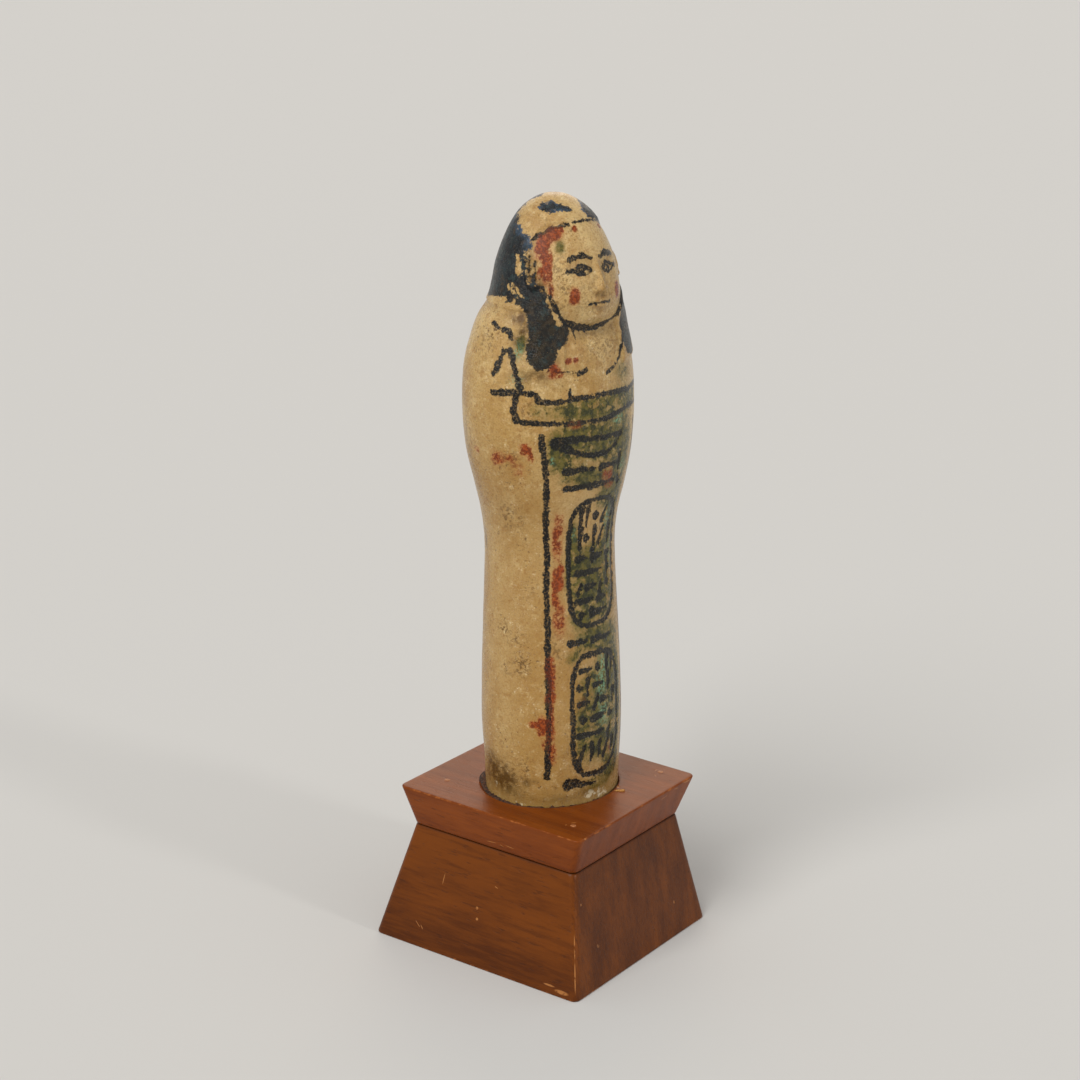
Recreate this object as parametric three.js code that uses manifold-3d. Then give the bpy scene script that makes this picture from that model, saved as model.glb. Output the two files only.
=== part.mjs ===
// A mummy-shaped funerary figurine of alabaster, let into a modern wooden stand.
// Millimetres, +Z up. The stand's front and the figurine's face look towards -Y.
// The origin is on the ground, under the middle of the stand.

import * as THREE from "three";
import { mergeVertices } from "three/addons/utils/BufferGeometryUtils.js";
import Module from "manifold-3d";

const wasm = await Module();
wasm.setup();

// Wooden block, wide at the ground and narrow under the cap
const blockFootWidth = 82.2;
const blockTopWidth = 64.6;
const blockHeight = 40;

// Flared cap board on the block
const capTopWidth = 72.6;
const capHeight = 14;

// Wear on the wood: rounded upright corners and eased edges
const cornerRadius = 1.8;
const cornerSteps = 4;
const easedEdge = 0.5;

// Socket in the cap, cut to the figurine's foot with play all round
const socketDepth = 8;
const socketPlay = 1.1;
const socketSides = 44;

// The foot has slid over in its socket, by this share of the play and in this direction
const footSlideShare = 0.75;
const footSlideHeading = -56.5;

// Rounds of filler over the nails that hold the cap down
const plugRadius = 1;
const plugDepth = 2.5;
const plugPlay = 0.1;
const plugSides = 14;
const plugPlaces = [
  { name: "nail_plug_front_left", side: -1, end: -1, fromSide: 9.8, fromEnd: 8.9 },
  { name: "nail_plug_front_right", side: 1, end: -1, fromSide: 6.2, fromEnd: 10.5 },
  { name: "nail_plug_back_left", side: -1, end: 1, fromSide: 13.8, fromEnd: 10 },
  { name: "nail_plug_back_right", side: 1, end: 1, fromSide: 9.5, fromEnd: 9.5 },
];

// Figurine: its height from the bottom of the socket to the crown, and how it stands
const figurineHeight = 208;
const figurineTurn = -10.5;
const leanBack = 1.6;
const leanToItsRight = 1.5;

// Mesh of the figurine: columns crowd towards the face, rings crowd in the head
const figurineColumns = 72;
const frontCrowding = 0.6;
const bodyRings = 23;
const headRings = 34;
const headCrowding = 0.18;

// Carving is laid out in hundredths of the figurine's height, called parts here
const part = figurineHeight / 100;

// Half width, half depth and forward shift of the wrapped body and the head, foot to temples
const stations = [
  { up: 0, wide: 11.6, deep: 9.5, forward: 0.4 },
  { up: 9, wide: 12.0, deep: 9.8, forward: 0.35 },
  { up: 17, wide: 12.25, deep: 10.2, forward: 0.15 },
  { up: 27.5, wide: 11.9, deep: 10.0, forward: -0.05 },
  { up: 37.5, wide: 11.35, deep: 9.65, forward: -0.3 },
  { up: 45, wide: 11.1, deep: 9.45, forward: -0.45 },
  { up: 50, wide: 11.7, deep: 9.85, forward: -0.55 },
  { up: 55, wide: 13.0, deep: 10.65, forward: -0.5 },
  { up: 60, wide: 14.3, deep: 11.3, forward: -0.65 },
  { up: 65, wide: 15.05, deep: 11.4, forward: -0.75 },
  { up: 70, wide: 15.2, deep: 11.2, forward: -0.85 },
  { up: 74.5, wide: 14.8, deep: 10.8, forward: -0.9 },
  { up: 79, wide: 13.6, deep: 9.9, forward: -0.75 },
  { up: 81.5, wide: 12.7, deep: 9.4, forward: -0.4 },
  { up: 84, wide: 10.8, deep: 9.25, forward: 0.4 },
  { up: 85.5, wide: 10.3, deep: 9.2, forward: 0.7 },
  { up: 88.5, wide: 9.7, deep: 8.8, forward: 0.8 },
];

// The crown is a dome over the last station
const crownFrom = 88.5;
const crownUp = 100;
const crownFullness = 1.2;
const crownRoundness = 0.45;
const crownShiftBack = 0.6;
const neckUp = 79;

// Wig: its front edge over the forehead, its hem, and the two lappets on the chest
const wigRise = 0.38;
const wigEdgeSlope = 0.35;
const hairlineUp = 96.6;
const templeUp = 88.4;
const templeAngle = 76;
const jawUp = 81;
const lappetInnerAngle = 33;
const lappetOuterAngle = 66;
const lappetFoot = 74.7;
const hemUp = 83.6;
const archPower = 4.5;
const wigFadeUp = 97;

// Face, from the usual canon: hairline, brows, base of the nose and chin at even steps
const browUp = 91.4;
const eyeUp = 89.7;
const eyeAcross = 3.05;
const noseTipUp = 87;
const noseBaseUp = 86.3;
const mouthUp = 84.8;
const chinUp = 82.6;
const throatUp = 80.3;
const earAngle = 68;
const earUp = 89;
const headRadius = 9.1;
const faceSideAngles = [46, 66];
const faceFadeUps = [93, 97];

const stone = new THREE.MeshStandardMaterial({ color: 0xc9b083, roughness: 0.42, metalness: 0 });
const wood = new THREE.MeshStandardMaterial({ color: 0x74421f, roughness: 0.35, metalness: 0 });
const filler = new THREE.MeshStandardMaterial({ color: 0xa9693a, roughness: 0.5, metalness: 0 });

// 0 below the first value, 1 above the second, eased between them
function ease(value, from, to) {
  return THREE.MathUtils.smoothstep(value, from, to);
}

// A soft round swelling of height 1
function swelling(across, up, halfWidth, halfHeight) {
  return Math.exp(-((across / halfWidth) ** 2) - (up / halfHeight) ** 2);
}

// Slope of the smooth curve through the stations at station i
function slopeAt(i, key) {
  const before = stations[Math.max(i - 1, 0)];
  const after = stations[Math.min(i + 1, stations.length - 1)];
  return (after[key] - before[key]) / (after.up - before.up);
}

// A measure of the body at a height, on a smooth curve through the stations
function measureAt(up, key) {
  let i = 0;
  while (i < stations.length - 2 && stations[i + 1].up < up) {
    i += 1;
  }
  const low = stations[i];
  const high = stations[i + 1];
  const span = high.up - low.up;
  const t = (up - low.up) / span;
  return (
    low[key] * (1 + 2 * t) * (1 - t) ** 2 +
    slopeAt(i, key) * span * t * (1 - t) ** 2 +
    high[key] * t ** 2 * (3 - 2 * t) +
    slopeAt(i + 1, key) * span * t ** 2 * (t - 1)
  );
}

// Half width, half depth and forward shift at any height up to the crown
function sectionAt(up) {
  if (up <= crownFrom) {
    return {
      wide: measureAt(up, "wide"),
      deep: measureAt(up, "deep"),
      forward: measureAt(up, "forward"),
    };
  }
  const last = stations[stations.length - 1];
  const t = (up - crownFrom) / (crownUp - crownFrom);
  const share = Math.max(1 - t ** crownFullness, 0) ** crownRoundness;
  return {
    wide: last.wide * share,
    deep: last.deep * share,
    forward: last.forward - crownShiftBack * t ** 2,
  };
}

// How far inside the wig a place is, in parts; negative on bare skin and cloth
function insideWig(sideAngle, up) {
  const partsPerDegree = THREE.MathUtils.degToRad(headRadius);
  const arch =
    Math.abs(sideAngle / templeAngle) ** archPower +
    Math.abs((up - templeUp) / (hairlineUp - templeUp)) ** archPower;
  const innerAngle =
    lappetInnerAngle + (templeAngle - lappetInnerAngle) * ease(up, jawUp, templeUp);
  const faceOpening =
    up > templeUp
      ? (1 - arch ** (1 / archPower)) * headRadius
      : (innerAngle - sideAngle) * partsPerDegree;
  const shoulder = Math.min((sideAngle - lappetOuterAngle) * partsPerDegree, hemUp - up);
  return -Math.max(faceOpening, shoulder, lappetFoot - up);
}

// A straight nose: low at the root, full at the tip, cut back under it
function noseRise(side, up) {
  const t = THREE.MathUtils.clamp((browUp - up) / (browUp - noseTipUp), 0, 1);
  const bridge = (0.15 + 1.0 * t) * Math.exp(-((side / (0.6 + 0.35 * t)) ** 2));
  const wings = 0.42 * swelling(side - 1.05, up - noseTipUp, 0.5, 0.55);
  const overLip = ease(up, noseBaseUp - 0.3, noseTipUp);
  const underBrow = 1 - ease(up, browUp - 0.6, browUp + 0.8);
  return bridge * overLip * underBrow + wings;
}

// The whole face as heights over the plain head, in parts
function faceRise(across, up) {
  const side = Math.abs(across);
  const socket = -0.5 * swelling(side - eyeAcross + 0.2, up - eyeUp - 0.2, 1.9, 1.1);
  const eye = 0.36 * swelling(side - eyeAcross, up - eyeUp, 1.3, 0.6);
  const brow = 0.2 * swelling(side - eyeAcross, up - browUp, 2.2, 0.5);
  const cheek = 0.22 * swelling(side - 4.1, up - noseBaseUp, 2.3, 1.9);
  const lips = 0.42 * swelling(side, up - mouthUp, 2.1, 0.85);
  const parting = -0.2 * swelling(side, up - mouthUp, 2.2, 0.22);
  const chin = 0.5 * swelling(side, up - chinUp, 2.1, 1.0);
  const throat = -1.0 * swelling(side, up - throatUp, 4.6, 1.4);
  return noseRise(side, up) + socket + eye + brow + cheek + lips + parting + chin + throat;
}

// An ear as an upright oval rim with a hollow inside it
function earRise(sideAngle, up) {
  const across = THREE.MathUtils.degToRad(sideAngle - earAngle) * headRadius;
  const reach = Math.hypot(across / 1.15, (up - earUp) / 2.1);
  return 0.42 * Math.exp(-(((reach - 0.75) / 0.32) ** 2));
}

// A point of the figurine's skin in millimetres; angle 0 is the front, positive to its left
function skinPoint(angle, up) {
  const section = sectionAt(up);
  const sideAngle = Math.abs(THREE.MathUtils.radToDeg(angle));
  const plain = 1 / Math.hypot(Math.sin(angle) / section.wide, Math.cos(angle) / section.deep);
  const wig = wigRise * ease(insideWig(sideAngle, up), -wigEdgeSlope, wigEdgeSlope);
  const bare = 1 - ease(sideAngle, ...faceSideAngles);
  const nearCrown = 1 - ease(up, ...faceFadeUps);
  const carved = (bare * faceRise(angle * headRadius, up) + earRise(sideAngle, up)) * nearCrown;
  const radius = plain + wig * (1 - ease(up, wigFadeUp, crownUp)) + carved;
  const back = Math.tan(THREE.MathUtils.degToRad(leanBack)) * up;
  const right = Math.tan(THREE.MathUtils.degToRad(leanToItsRight)) * up;
  return new THREE.Vector3(
    (radius * Math.sin(angle) - right) * part,
    (-radius * Math.cos(angle) - section.forward + back) * part,
    up * part,
  );
}

// A closed body over a stack of rings with equal counts, from the lowest ring to the highest
function bodyOverRings(rings, lowestPoint, highestPoint) {
  const count = rings[0].length;
  const points = [lowestPoint, ...rings.flat(), highestPoint];
  const top = points.length - 1;
  const lastRing = 1 + (rings.length - 1) * count;
  const triangles = [];
  for (let i = 0; i < count; i += 1) {
    const next = (i + 1) % count;
    triangles.push(0, 1 + next, 1 + i);
    triangles.push(top, lastRing + i, lastRing + next);
    for (let r = 0; r < rings.length - 1; r += 1) {
      const low = 1 + r * count;
      const high = low + count;
      triangles.push(low + i, low + next, high + next);
      triangles.push(low + i, high + next, high + i);
    }
  }
  const geometry = new THREE.BufferGeometry().setFromPoints(points);
  geometry.setIndex(triangles);
  return geometry;
}

// Heights of the figurine's rings: even steps up the body, closer ones up the head
function ringHeights() {
  const heights = [];
  for (let i = 0; i < bodyRings; i += 1) {
    heights.push((neckUp * i) / bodyRings);
  }
  for (let i = 0; i < headRings; i += 1) {
    const t = i / headRings;
    heights.push(neckUp + (crownUp - neckUp) * t * (1 + headCrowding * (1 - t)));
  }
  return heights;
}

function makeFigurineGeometry() {
  const angles = [];
  for (let i = 0; i < figurineColumns; i += 1) {
    const even = (2 * Math.PI * i) / figurineColumns;
    angles.push(even - frontCrowding * Math.sin(even));
  }
  const folded = angles.map((angle) => (angle > Math.PI ? angle - 2 * Math.PI : angle));
  const rings = ringHeights().map((up) => folded.map((angle) => skinPoint(angle, up)));
  const foot = skinPoint(0, 0).lerp(skinPoint(Math.PI, 0), 0.5);
  const crown = skinPoint(0, crownUp);
  return bodyOverRings(rings, foot, crown);
}

// A square outline with rounded corners, anticlockwise seen from above
function squareRing(width, height) {
  const points = [];
  for (let corner = 0; corner < 4; corner += 1) {
    const middle = (corner * Math.PI) / 2 + Math.PI / 4;
    const reach = (width / 2 - cornerRadius) * Math.SQRT2;
    for (let step = 0; step <= cornerSteps; step += 1) {
      const turn = (corner * Math.PI) / 2 + (step / cornerSteps) * (Math.PI / 2);
      points.push(
        new THREE.Vector3(
          reach * Math.cos(middle) + cornerRadius * Math.cos(turn),
          reach * Math.sin(middle) + cornerRadius * Math.sin(turn),
          height,
        ),
      );
    }
  }
  return points;
}

// A tapered square block with its upper and lower edges eased
function taperedBlock(lowWidth, highWidth, height) {
  const widthAt = (z) => lowWidth + ((highWidth - lowWidth) * z) / height;
  const rings = [
    squareRing(lowWidth - 2 * easedEdge, 0),
    squareRing(widthAt(easedEdge), easedEdge),
    squareRing(widthAt(height - easedEdge), height - easedEdge),
    squareRing(highWidth - 2 * easedEdge, height),
  ];
  return bodyOverRings(rings, new THREE.Vector3(0, 0, 0), new THREE.Vector3(0, 0, height));
}

// The foot's outline, let out by some play, as an upright oval post
function footPost(play, height) {
  const foot = sectionAt(0);
  const post = new THREE.CylinderGeometry(1, 1, height, socketSides);
  post.rotateX(Math.PI / 2);
  post.scale(foot.wide * part + play, foot.deep * part + play, 1);
  return post;
}

// An upright round post
function roundPost(radius, height) {
  return new THREE.CylinderGeometry(radius, radius, height, plugSides).rotateX(Math.PI / 2);
}

function toSolid(geometry) {
  const bare = geometry.clone();
  bare.deleteAttribute("normal");
  bare.deleteAttribute("uv");
  const merged = mergeVertices(bare, 1e-4);
  return new wasm.Manifold(
    new wasm.Mesh({
      numProp: 3,
      vertProperties: merged.attributes.position.array,
      triVerts: new Uint32Array(merged.index.array),
    }),
  );
}

function toGeometry(solid) {
  const mesh = solid.getMesh();
  const geometry = new THREE.BufferGeometry();
  geometry.setAttribute("position", new THREE.BufferAttribute(mesh.vertProperties, 3));
  geometry.setIndex(new THREE.BufferAttribute(mesh.triVerts, 1));
  geometry.computeVertexNormals();
  return geometry;
}

// Where a plug sits, measured in from the cap's top edges; the cap stands on the block
function plugCentre(place) {
  return new THREE.Vector2(
    place.side * (capTopWidth / 2 - place.fromSide),
    place.end * (capTopWidth / 2 - place.fromEnd),
  );
}

// The figurine's place in its socket, seen from above
const slide = socketPlay * footSlideShare;
const slideTurn = THREE.MathUtils.degToRad(footSlideHeading);
const footPlace = new THREE.Vector2(slide * Math.cos(slideTurn), slide * Math.sin(slideTurn));
const footMiddle = sectionAt(0).forward * part;

function makeCapGeometry() {
  const turn = THREE.MathUtils.degToRad(figurineTurn);
  const socket = footPost(socketPlay, 2 * socketDepth);
  socket.translate(0, -footMiddle, capHeight);
  socket.rotateZ(turn);
  let cap = toSolid(taperedBlock(blockTopWidth, capTopWidth, capHeight));
  cap = cap.subtract(toSolid(socket));
  for (const place of plugPlaces) {
    const centre = plugCentre(place);
    const hole = roundPost(plugRadius + plugPlay, 2 * plugDepth);
    hole.translate(centre.x, centre.y, capHeight);
    cap = cap.subtract(toSolid(hole));
  }
  return toGeometry(cap);
}

const stand = new THREE.Group();

const block = new THREE.Mesh(taperedBlock(blockFootWidth, blockTopWidth, blockHeight), wood);
block.name = "stand_block";
stand.add(block);

const cap = new THREE.Mesh(makeCapGeometry(), wood);
cap.name = "stand_cap";
cap.position.z = blockHeight;
stand.add(cap);

for (const place of plugPlaces) {
  const centre = plugCentre(place);
  const plug = new THREE.Mesh(roundPost(plugRadius, plugDepth), filler);
  plug.name = place.name;
  plug.position.set(centre.x, centre.y, blockHeight + capHeight - plugDepth / 2);
  stand.add(plug);
}

const figurine = new THREE.Mesh(makeFigurineGeometry(), stone);
figurine.name = "figurine";
figurine.rotation.z = THREE.MathUtils.degToRad(figurineTurn);
figurine.position.set(footPlace.x, footPlace.y, blockHeight + capHeight - socketDepth);

const whole = new THREE.Group();
whole.add(stand, figurine);

export default whole;
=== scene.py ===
import math

import bpy
import numpy as np
from mathutils import Matrix, Vector, noise


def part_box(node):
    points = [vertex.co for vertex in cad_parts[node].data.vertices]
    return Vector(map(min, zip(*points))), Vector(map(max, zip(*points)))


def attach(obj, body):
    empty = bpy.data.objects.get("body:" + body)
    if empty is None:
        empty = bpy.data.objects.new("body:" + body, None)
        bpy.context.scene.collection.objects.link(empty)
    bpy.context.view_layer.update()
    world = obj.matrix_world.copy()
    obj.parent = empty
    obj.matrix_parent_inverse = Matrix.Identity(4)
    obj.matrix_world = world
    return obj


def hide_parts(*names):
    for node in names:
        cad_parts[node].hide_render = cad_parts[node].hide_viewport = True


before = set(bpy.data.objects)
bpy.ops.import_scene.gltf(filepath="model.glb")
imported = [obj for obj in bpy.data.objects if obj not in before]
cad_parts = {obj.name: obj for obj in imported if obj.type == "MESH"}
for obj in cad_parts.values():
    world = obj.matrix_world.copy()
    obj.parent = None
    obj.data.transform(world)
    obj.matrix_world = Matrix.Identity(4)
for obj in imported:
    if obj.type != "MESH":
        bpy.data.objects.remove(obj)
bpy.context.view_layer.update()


# The figurine: one piece of honey-coloured alabaster, carved in the round as a wrapped mummy with
# a wig, rubbed smooth and then painted. Its foot is cut off level and stands loose in the socket.
foot_corner, crown_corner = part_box("figurine")
MILLIMETRE = 0.001
PART = (crown_corner[2] - foot_corner[2]) / 100
PART_MM = PART / MILLIMETRE
FIGURINE_TURN = math.radians(-10.5)
LEAN_BACK = math.tan(math.radians(1.6))
LEAN_RIGHT = math.tan(math.radians(1.5))
SOCKET_PLAY = 1.1 * MILLIMETRE
FOOT_SLIDE = 0.75 * SOCKET_PLAY
FOOT_SLIDE_HEADING = math.radians(-56.5)

# Height, half width, half depth and forward shift, all in hundredths of the figurine's height
STATIONS = np.array([
    (0, 11.6, 9.5, 0.4),
    (9, 12.0, 9.8, 0.35),
    (17, 12.25, 10.2, 0.15),
    (27.5, 11.9, 10.0, -0.05),
    (37.5, 11.35, 9.65, -0.3),
    (45, 11.1, 9.45, -0.45),
    (50, 11.7, 9.85, -0.55),
    (55, 13.0, 10.65, -0.5),
    (60, 14.3, 11.3, -0.65),
    (65, 15.05, 11.4, -0.75),
    (70, 15.2, 11.2, -0.85),
    (74.5, 14.8, 10.8, -0.9),
    (79, 13.6, 9.9, -0.75),
    (81.5, 12.7, 9.4, -0.4),
    (84, 10.8, 9.25, 0.4),
    (85.5, 10.3, 9.2, 0.7),
    (88.5, 9.7, 8.8, 0.8),
])
CROWN_FROM, CROWN_FULLNESS, CROWN_ROUNDNESS, CROWN_SHIFT = 88.5, 1.2, 0.45, 0.6
HEAD_RADIUS = 9.1

# Wig
WIG_RISE, WIG_EDGE_SLOPE = 0.38, 0.22
HAIRLINE_UP, TEMPLE_UP, TEMPLE_ANGLE, ARCH_POWER = 96.6, 88.4, 76, 4.5
JAW_UP = 81
LAPPET_INNER, LAPPET_OUTER, LAPPET_FOOT, HEM_UP = 33, 66, 74.7, 83.6

# Face, from the usual canon of even thirds from the hairline to the chin
BROW_UP, EYE_UP, EYE_ACROSS = 91.4, 89.7, 3.05
NOSE_TIP_UP, NOSE_BASE_UP, MOUTH_UP, CHIN_UP, THROAT_UP = 87.0, 86.3, 84.8, 82.6, 80.3
EAR_ANGLE, EAR_UP = 68, 89


def eased(value, low, high):
    """0 below low, 1 above high, smooth between."""
    t = np.clip((value - low) / (high - low), 0, 1)
    return t * t * (3 - 2 * t)


def swelling(across, up, half_width, half_height):
    """A soft round swelling of height 1."""
    return np.exp(-((across / half_width) ** 2) - (up / half_height) ** 2)


def section_at(up):
    """Half width, half depth and forward shift of the carving at each height."""
    heights = STATIONS[:, 0]
    before = STATIONS[np.maximum(np.arange(len(heights)) - 1, 0)]
    after = STATIONS[np.minimum(np.arange(len(heights)) + 1, len(heights) - 1)]
    slopes = (after[:, 1:] - before[:, 1:]) / (after[:, :1] - before[:, :1])
    i = np.clip(np.searchsorted(heights, up) - 1, 0, len(heights) - 2)
    span = (heights[i + 1] - heights[i])[..., None]
    t = np.minimum((up - heights[i])[..., None] / span, 1)
    body = (
        STATIONS[i, 1:] * (1 + 2 * t) * (1 - t) ** 2
        + slopes[i] * span * t * (1 - t) ** 2
        + STATIONS[i + 1, 1:] * t**2 * (3 - 2 * t)
        + slopes[i + 1] * span * t**2 * (t - 1)
    )
    climb = np.clip((up - CROWN_FROM) / (100 - CROWN_FROM), 0, 1)
    share = np.maximum(1 - climb**CROWN_FULLNESS, 1e-9) ** CROWN_ROUNDNESS
    wide = np.where(climb > 0, STATIONS[-1, 1] * share, body[..., 0])
    deep = np.where(climb > 0, STATIONS[-1, 2] * share, body[..., 1])
    forward = np.where(climb > 0, STATIONS[-1, 3] - CROWN_SHIFT * climb**2, body[..., 2])
    return wide, deep, forward


def inside_wig(degrees, up):
    """How far inside the wig's edge a place is, in parts; negative outside."""
    side = np.abs(degrees)
    parts_per_degree = math.radians(HEAD_RADIUS)
    reach = np.abs(up - TEMPLE_UP) / (HAIRLINE_UP - TEMPLE_UP)
    arch = ((side / TEMPLE_ANGLE) ** ARCH_POWER + reach**ARCH_POWER) ** (1 / ARCH_POWER)
    inner = LAPPET_INNER + (TEMPLE_ANGLE - LAPPET_INNER) * eased(up, JAW_UP, TEMPLE_UP)
    below = (inner - side) * parts_per_degree
    face_opening = np.where(up > TEMPLE_UP, (1 - arch) * HEAD_RADIUS, below)
    shoulder = np.minimum((side - LAPPET_OUTER) * parts_per_degree, HEM_UP - up)
    return -np.maximum(np.maximum(face_opening, shoulder), LAPPET_FOOT - up)


def nose_rise(side, up):
    """A straight nose, low at the root and full at the tip, cut back under it."""
    t = np.clip((BROW_UP - up) / (BROW_UP - NOSE_TIP_UP), 0, 1)
    bridge = (0.15 + 1.0 * t) * np.exp(-((side / (0.6 + 0.35 * t)) ** 2))
    wings = 0.42 * swelling(side - 1.05, up - NOSE_TIP_UP, 0.5, 0.55)
    nostrils = -0.2 * swelling(side - 0.65, up - NOSE_BASE_UP + 0.1, 0.32, 0.25)
    over_lip = eased(up, NOSE_BASE_UP - 0.3, NOSE_TIP_UP)
    under_brow = 1 - eased(up, BROW_UP - 0.6, BROW_UP + 0.8)
    return bridge * over_lip * under_brow + wings + nostrils


def face_rise(across, up):
    """The whole face as heights over the plain head, in parts."""
    side = np.abs(across)
    from_eye = side - EYE_ACROSS
    socket = -0.5 * swelling(from_eye + 0.2, up - EYE_UP - 0.2, 1.9, 1.1)
    eye = 0.36 * swelling(from_eye, up - EYE_UP, 1.3, 0.6)
    lid_bow = 0.75 * (1 - (from_eye / 1.7) ** 2)
    upper_lid = 0.13 * np.exp(-(((up - EYE_UP - lid_bow) / 0.2) ** 2)) * (np.abs(from_eye) < 1.9)
    lower_lid = 0.08 * np.exp(-(((up - EYE_UP + 0.8 * lid_bow) / 0.2) ** 2)) * (np.abs(from_eye) < 1.8)
    brow = 0.22 * swelling(from_eye, up - BROW_UP - 0.25 * (1 - (from_eye / 2.4) ** 2), 2.3, 0.42)
    cheek = 0.22 * swelling(side - 4.1, up - NOSE_BASE_UP, 2.3, 1.9)
    lips = 0.4 * swelling(side, up - MOUTH_UP, 2.1, 0.85)
    upper_lip = 0.14 * swelling(side - 0.55, up - MOUTH_UP - 0.42, 1.0, 0.3)
    lower_lip = 0.2 * swelling(side, up - MOUTH_UP + 0.45, 1.25, 0.34)
    parting = -0.26 * swelling(side, up - MOUTH_UP, 2.0, 0.16)
    chin = 0.5 * swelling(side, up - CHIN_UP, 2.1, 1.0)
    throat = -1.0 * swelling(side, up - THROAT_UP, 4.6, 1.4)
    lids = upper_lid + lower_lid
    mouth = lips + upper_lip + lower_lip + parting
    return nose_rise(side, up) + socket + eye + lids + brow + cheek + mouth + chin + throat


def ear_rise(degrees, up):
    """An ear as an upright oval rim with a hollow and a lobe."""
    across = np.radians(np.abs(degrees) - EAR_ANGLE) * HEAD_RADIUS
    reach = np.hypot(across / 1.1, (up - EAR_UP) / 2.1)
    rim = 0.42 * np.exp(-(((reach - 0.78) / 0.26) ** 2))
    lobe = 0.3 * swelling(across + 0.25, up - EAR_UP + 1.7, 0.6, 0.6)
    return rim + lobe


# Painted strokes are lists of (degrees round from the front, height in parts), widths in mm
TOOL_STROKES = [
    (0.95, [(-87.5, 81.4), (-84.5, 81.1)]),
    (0.8, [(-78.5, 80.6), (-74.5, 80.8), (-72.5, 79.6)]),
    (0.8, [(-75.5, 77.8), (-77.5, 75.8), (-80.5, 74.0)]),
    (1.0, [(-71.5, 77.9), (-67.5, 75.4), (-63.5, 72.2)]),
    (1.2, [(-79, 71.4), (-73, 71.5), (-68, 71.7)]),
    (0.95, [(-68, 71.7), (-60, 71.6), (-54, 71.4), (-51, 70.4), (-44, 70.1), (-38, 70.2)]),
    (0.9, [(-38, 70.2), (-28, 70.5), (-12, 70.6), (4, 70.6), (20, 70.4), (40, 70.2), (58, 70.4)]),
    (0.6, [(-30, 70.6), (-29.5, 72.0)]),
    (1.0, [(-65.5, 71.2), (-67.5, 68.8), (-65.0, 67.3)]),
    (0.85, [(-65.0, 67.3), (-58, 67.0), (-45, 67.0), (-30, 66.8), (-12, 66.8), (4, 66.7)]),
    (0.85, [(4, 66.7), (18, 67.2), (36, 67.6), (56, 67.4)]),
]
# The far hand and tool don't show in the picture and mirror the near ones
TOOL_STROKES += [(half_width, [(-x, up) for x, up in points]) for half_width, points in TOOL_STROKES[1:5]]
TOOL_STROKES += [
    (0.85, [(58, 70.4), (63, 70.9), (68, 71.7)]),
    (0.9, [(65.5, 71.2), (67, 68.8), (65, 67.6), (56, 67.4)]),
]
FRAME_STROKES = [
    (1.0, [(-51, 65.0), (-49, 61.5), (-47.8, 57.5), (-48.5, 50.5)]),
    (1.05, [(-48.5, 50.5), (-47.8, 45.0), (-48.6, 39.5), (-47.9, 33.5), (-48.4, 28.5)]),
    (1.1, [(-48.4, 28.5), (-47.6, 22.5), (-48.6, 15.0), (-49.6, 8.9)]),
    (0.9, [(50, 65.0), (48, 50.0), (49, 30.0), (48.5, 9.0)]),
]
WIG_STROKES = [
    (0.5, [(-74, 94.0), (-66, 94.7), (-58, 95.3), (-48, 95.8), (-38, 96.0), (-26, 96.3)]),
    (0.4, [(-20, 96.4), (-8, 96.6), (6, 96.6), (24, 96.5), (44, 96.0), (60, 95.2)]),
    (0.75, [(-52, 85.9), (-44, 83.8), (-34, 82.0)]),
    (1.15, [(-34, 82.0), (-22, 81.2), (-10, 80.7), (0, 80.5)]),
    (1.0, [(0, 80.5), (10, 80.7), (22, 81.2)]),
    (0.75, [(22, 81.2), (34, 82.0), (44, 83.8), (52, 85.9)]),
    (0.5, [(-46, 75.0), (-38, 74.8), (-29, 74.6), (-20, 74.3)]),
    (0.8, [(-22, 74.2), (-14, 74.6)]),
    (0.6, [(9, 73.7), (20, 74.5), (29, 75.7), (34, 77.3), (38, 79.3), (40, 80.8)]),
    (0.35, [(-26, 81.0), (-22, 79.4), (-24, 78.4)]),
    (0.35, [(-74, 91.6), (-72, 90.2), (-70.5, 88.8)]),
    (0.4, [(-66.5, 91.0), (-66, 89.4), (-67.5, 88.2)]),
    (0.45, [(-63, 88.3), (-58, 88.6), (-53.5, 88.1), (-51, 87.0), (-51, 86.2)]),
    (0.35, [(-64, 87.4), (-58, 87.2), (-55, 86.4)]),
]


def row_of_strokes(up, marks):
    """One row of the inscription: plain dashes, ticks, slants and dots that spell nothing."""
    row = []
    for kind, degrees, reach in marks:
        if kind == "bar":
            row.append((1.0, [(degrees - reach, up), (degrees + reach, up + 0.15)]))
        if kind == "tick":
            row.append((0.95, [(degrees + 0.8, up + reach), (degrees, up - reach)]))
        if kind == "slant":
            row.append((0.95, [(degrees - 2.2 * reach, up - reach), (degrees + 2 * reach, up + reach)]))
        if kind == "dot":
            row.append((1.3, [(degrees - 0.8, up), (degrees + reach, up)]))
    return row


RING_STEPS, RING_SWAY = 40, 1.6


def oval_ring(left, right, low, high, round_corner, half_width):
    """A long painted ring that frames rows of the inscription."""
    points = []
    for step in range(RING_STEPS + 1):
        turn = 2 * math.pi * step / RING_STEPS
        across = math.copysign(abs(math.cos(turn)) ** round_corner, math.cos(turn))
        along = math.copysign(abs(math.sin(turn)) ** round_corner, math.sin(turn))
        sway = RING_SWAY * math.sin(2.3 * turn + 0.6)
        points.append((
            (left + right) / 2 + across * (right - left) / 2 + sway,
            (low + high) / 2 + along * (high - low) / 2,
        ))
    return [(half_width, points)]


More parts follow.
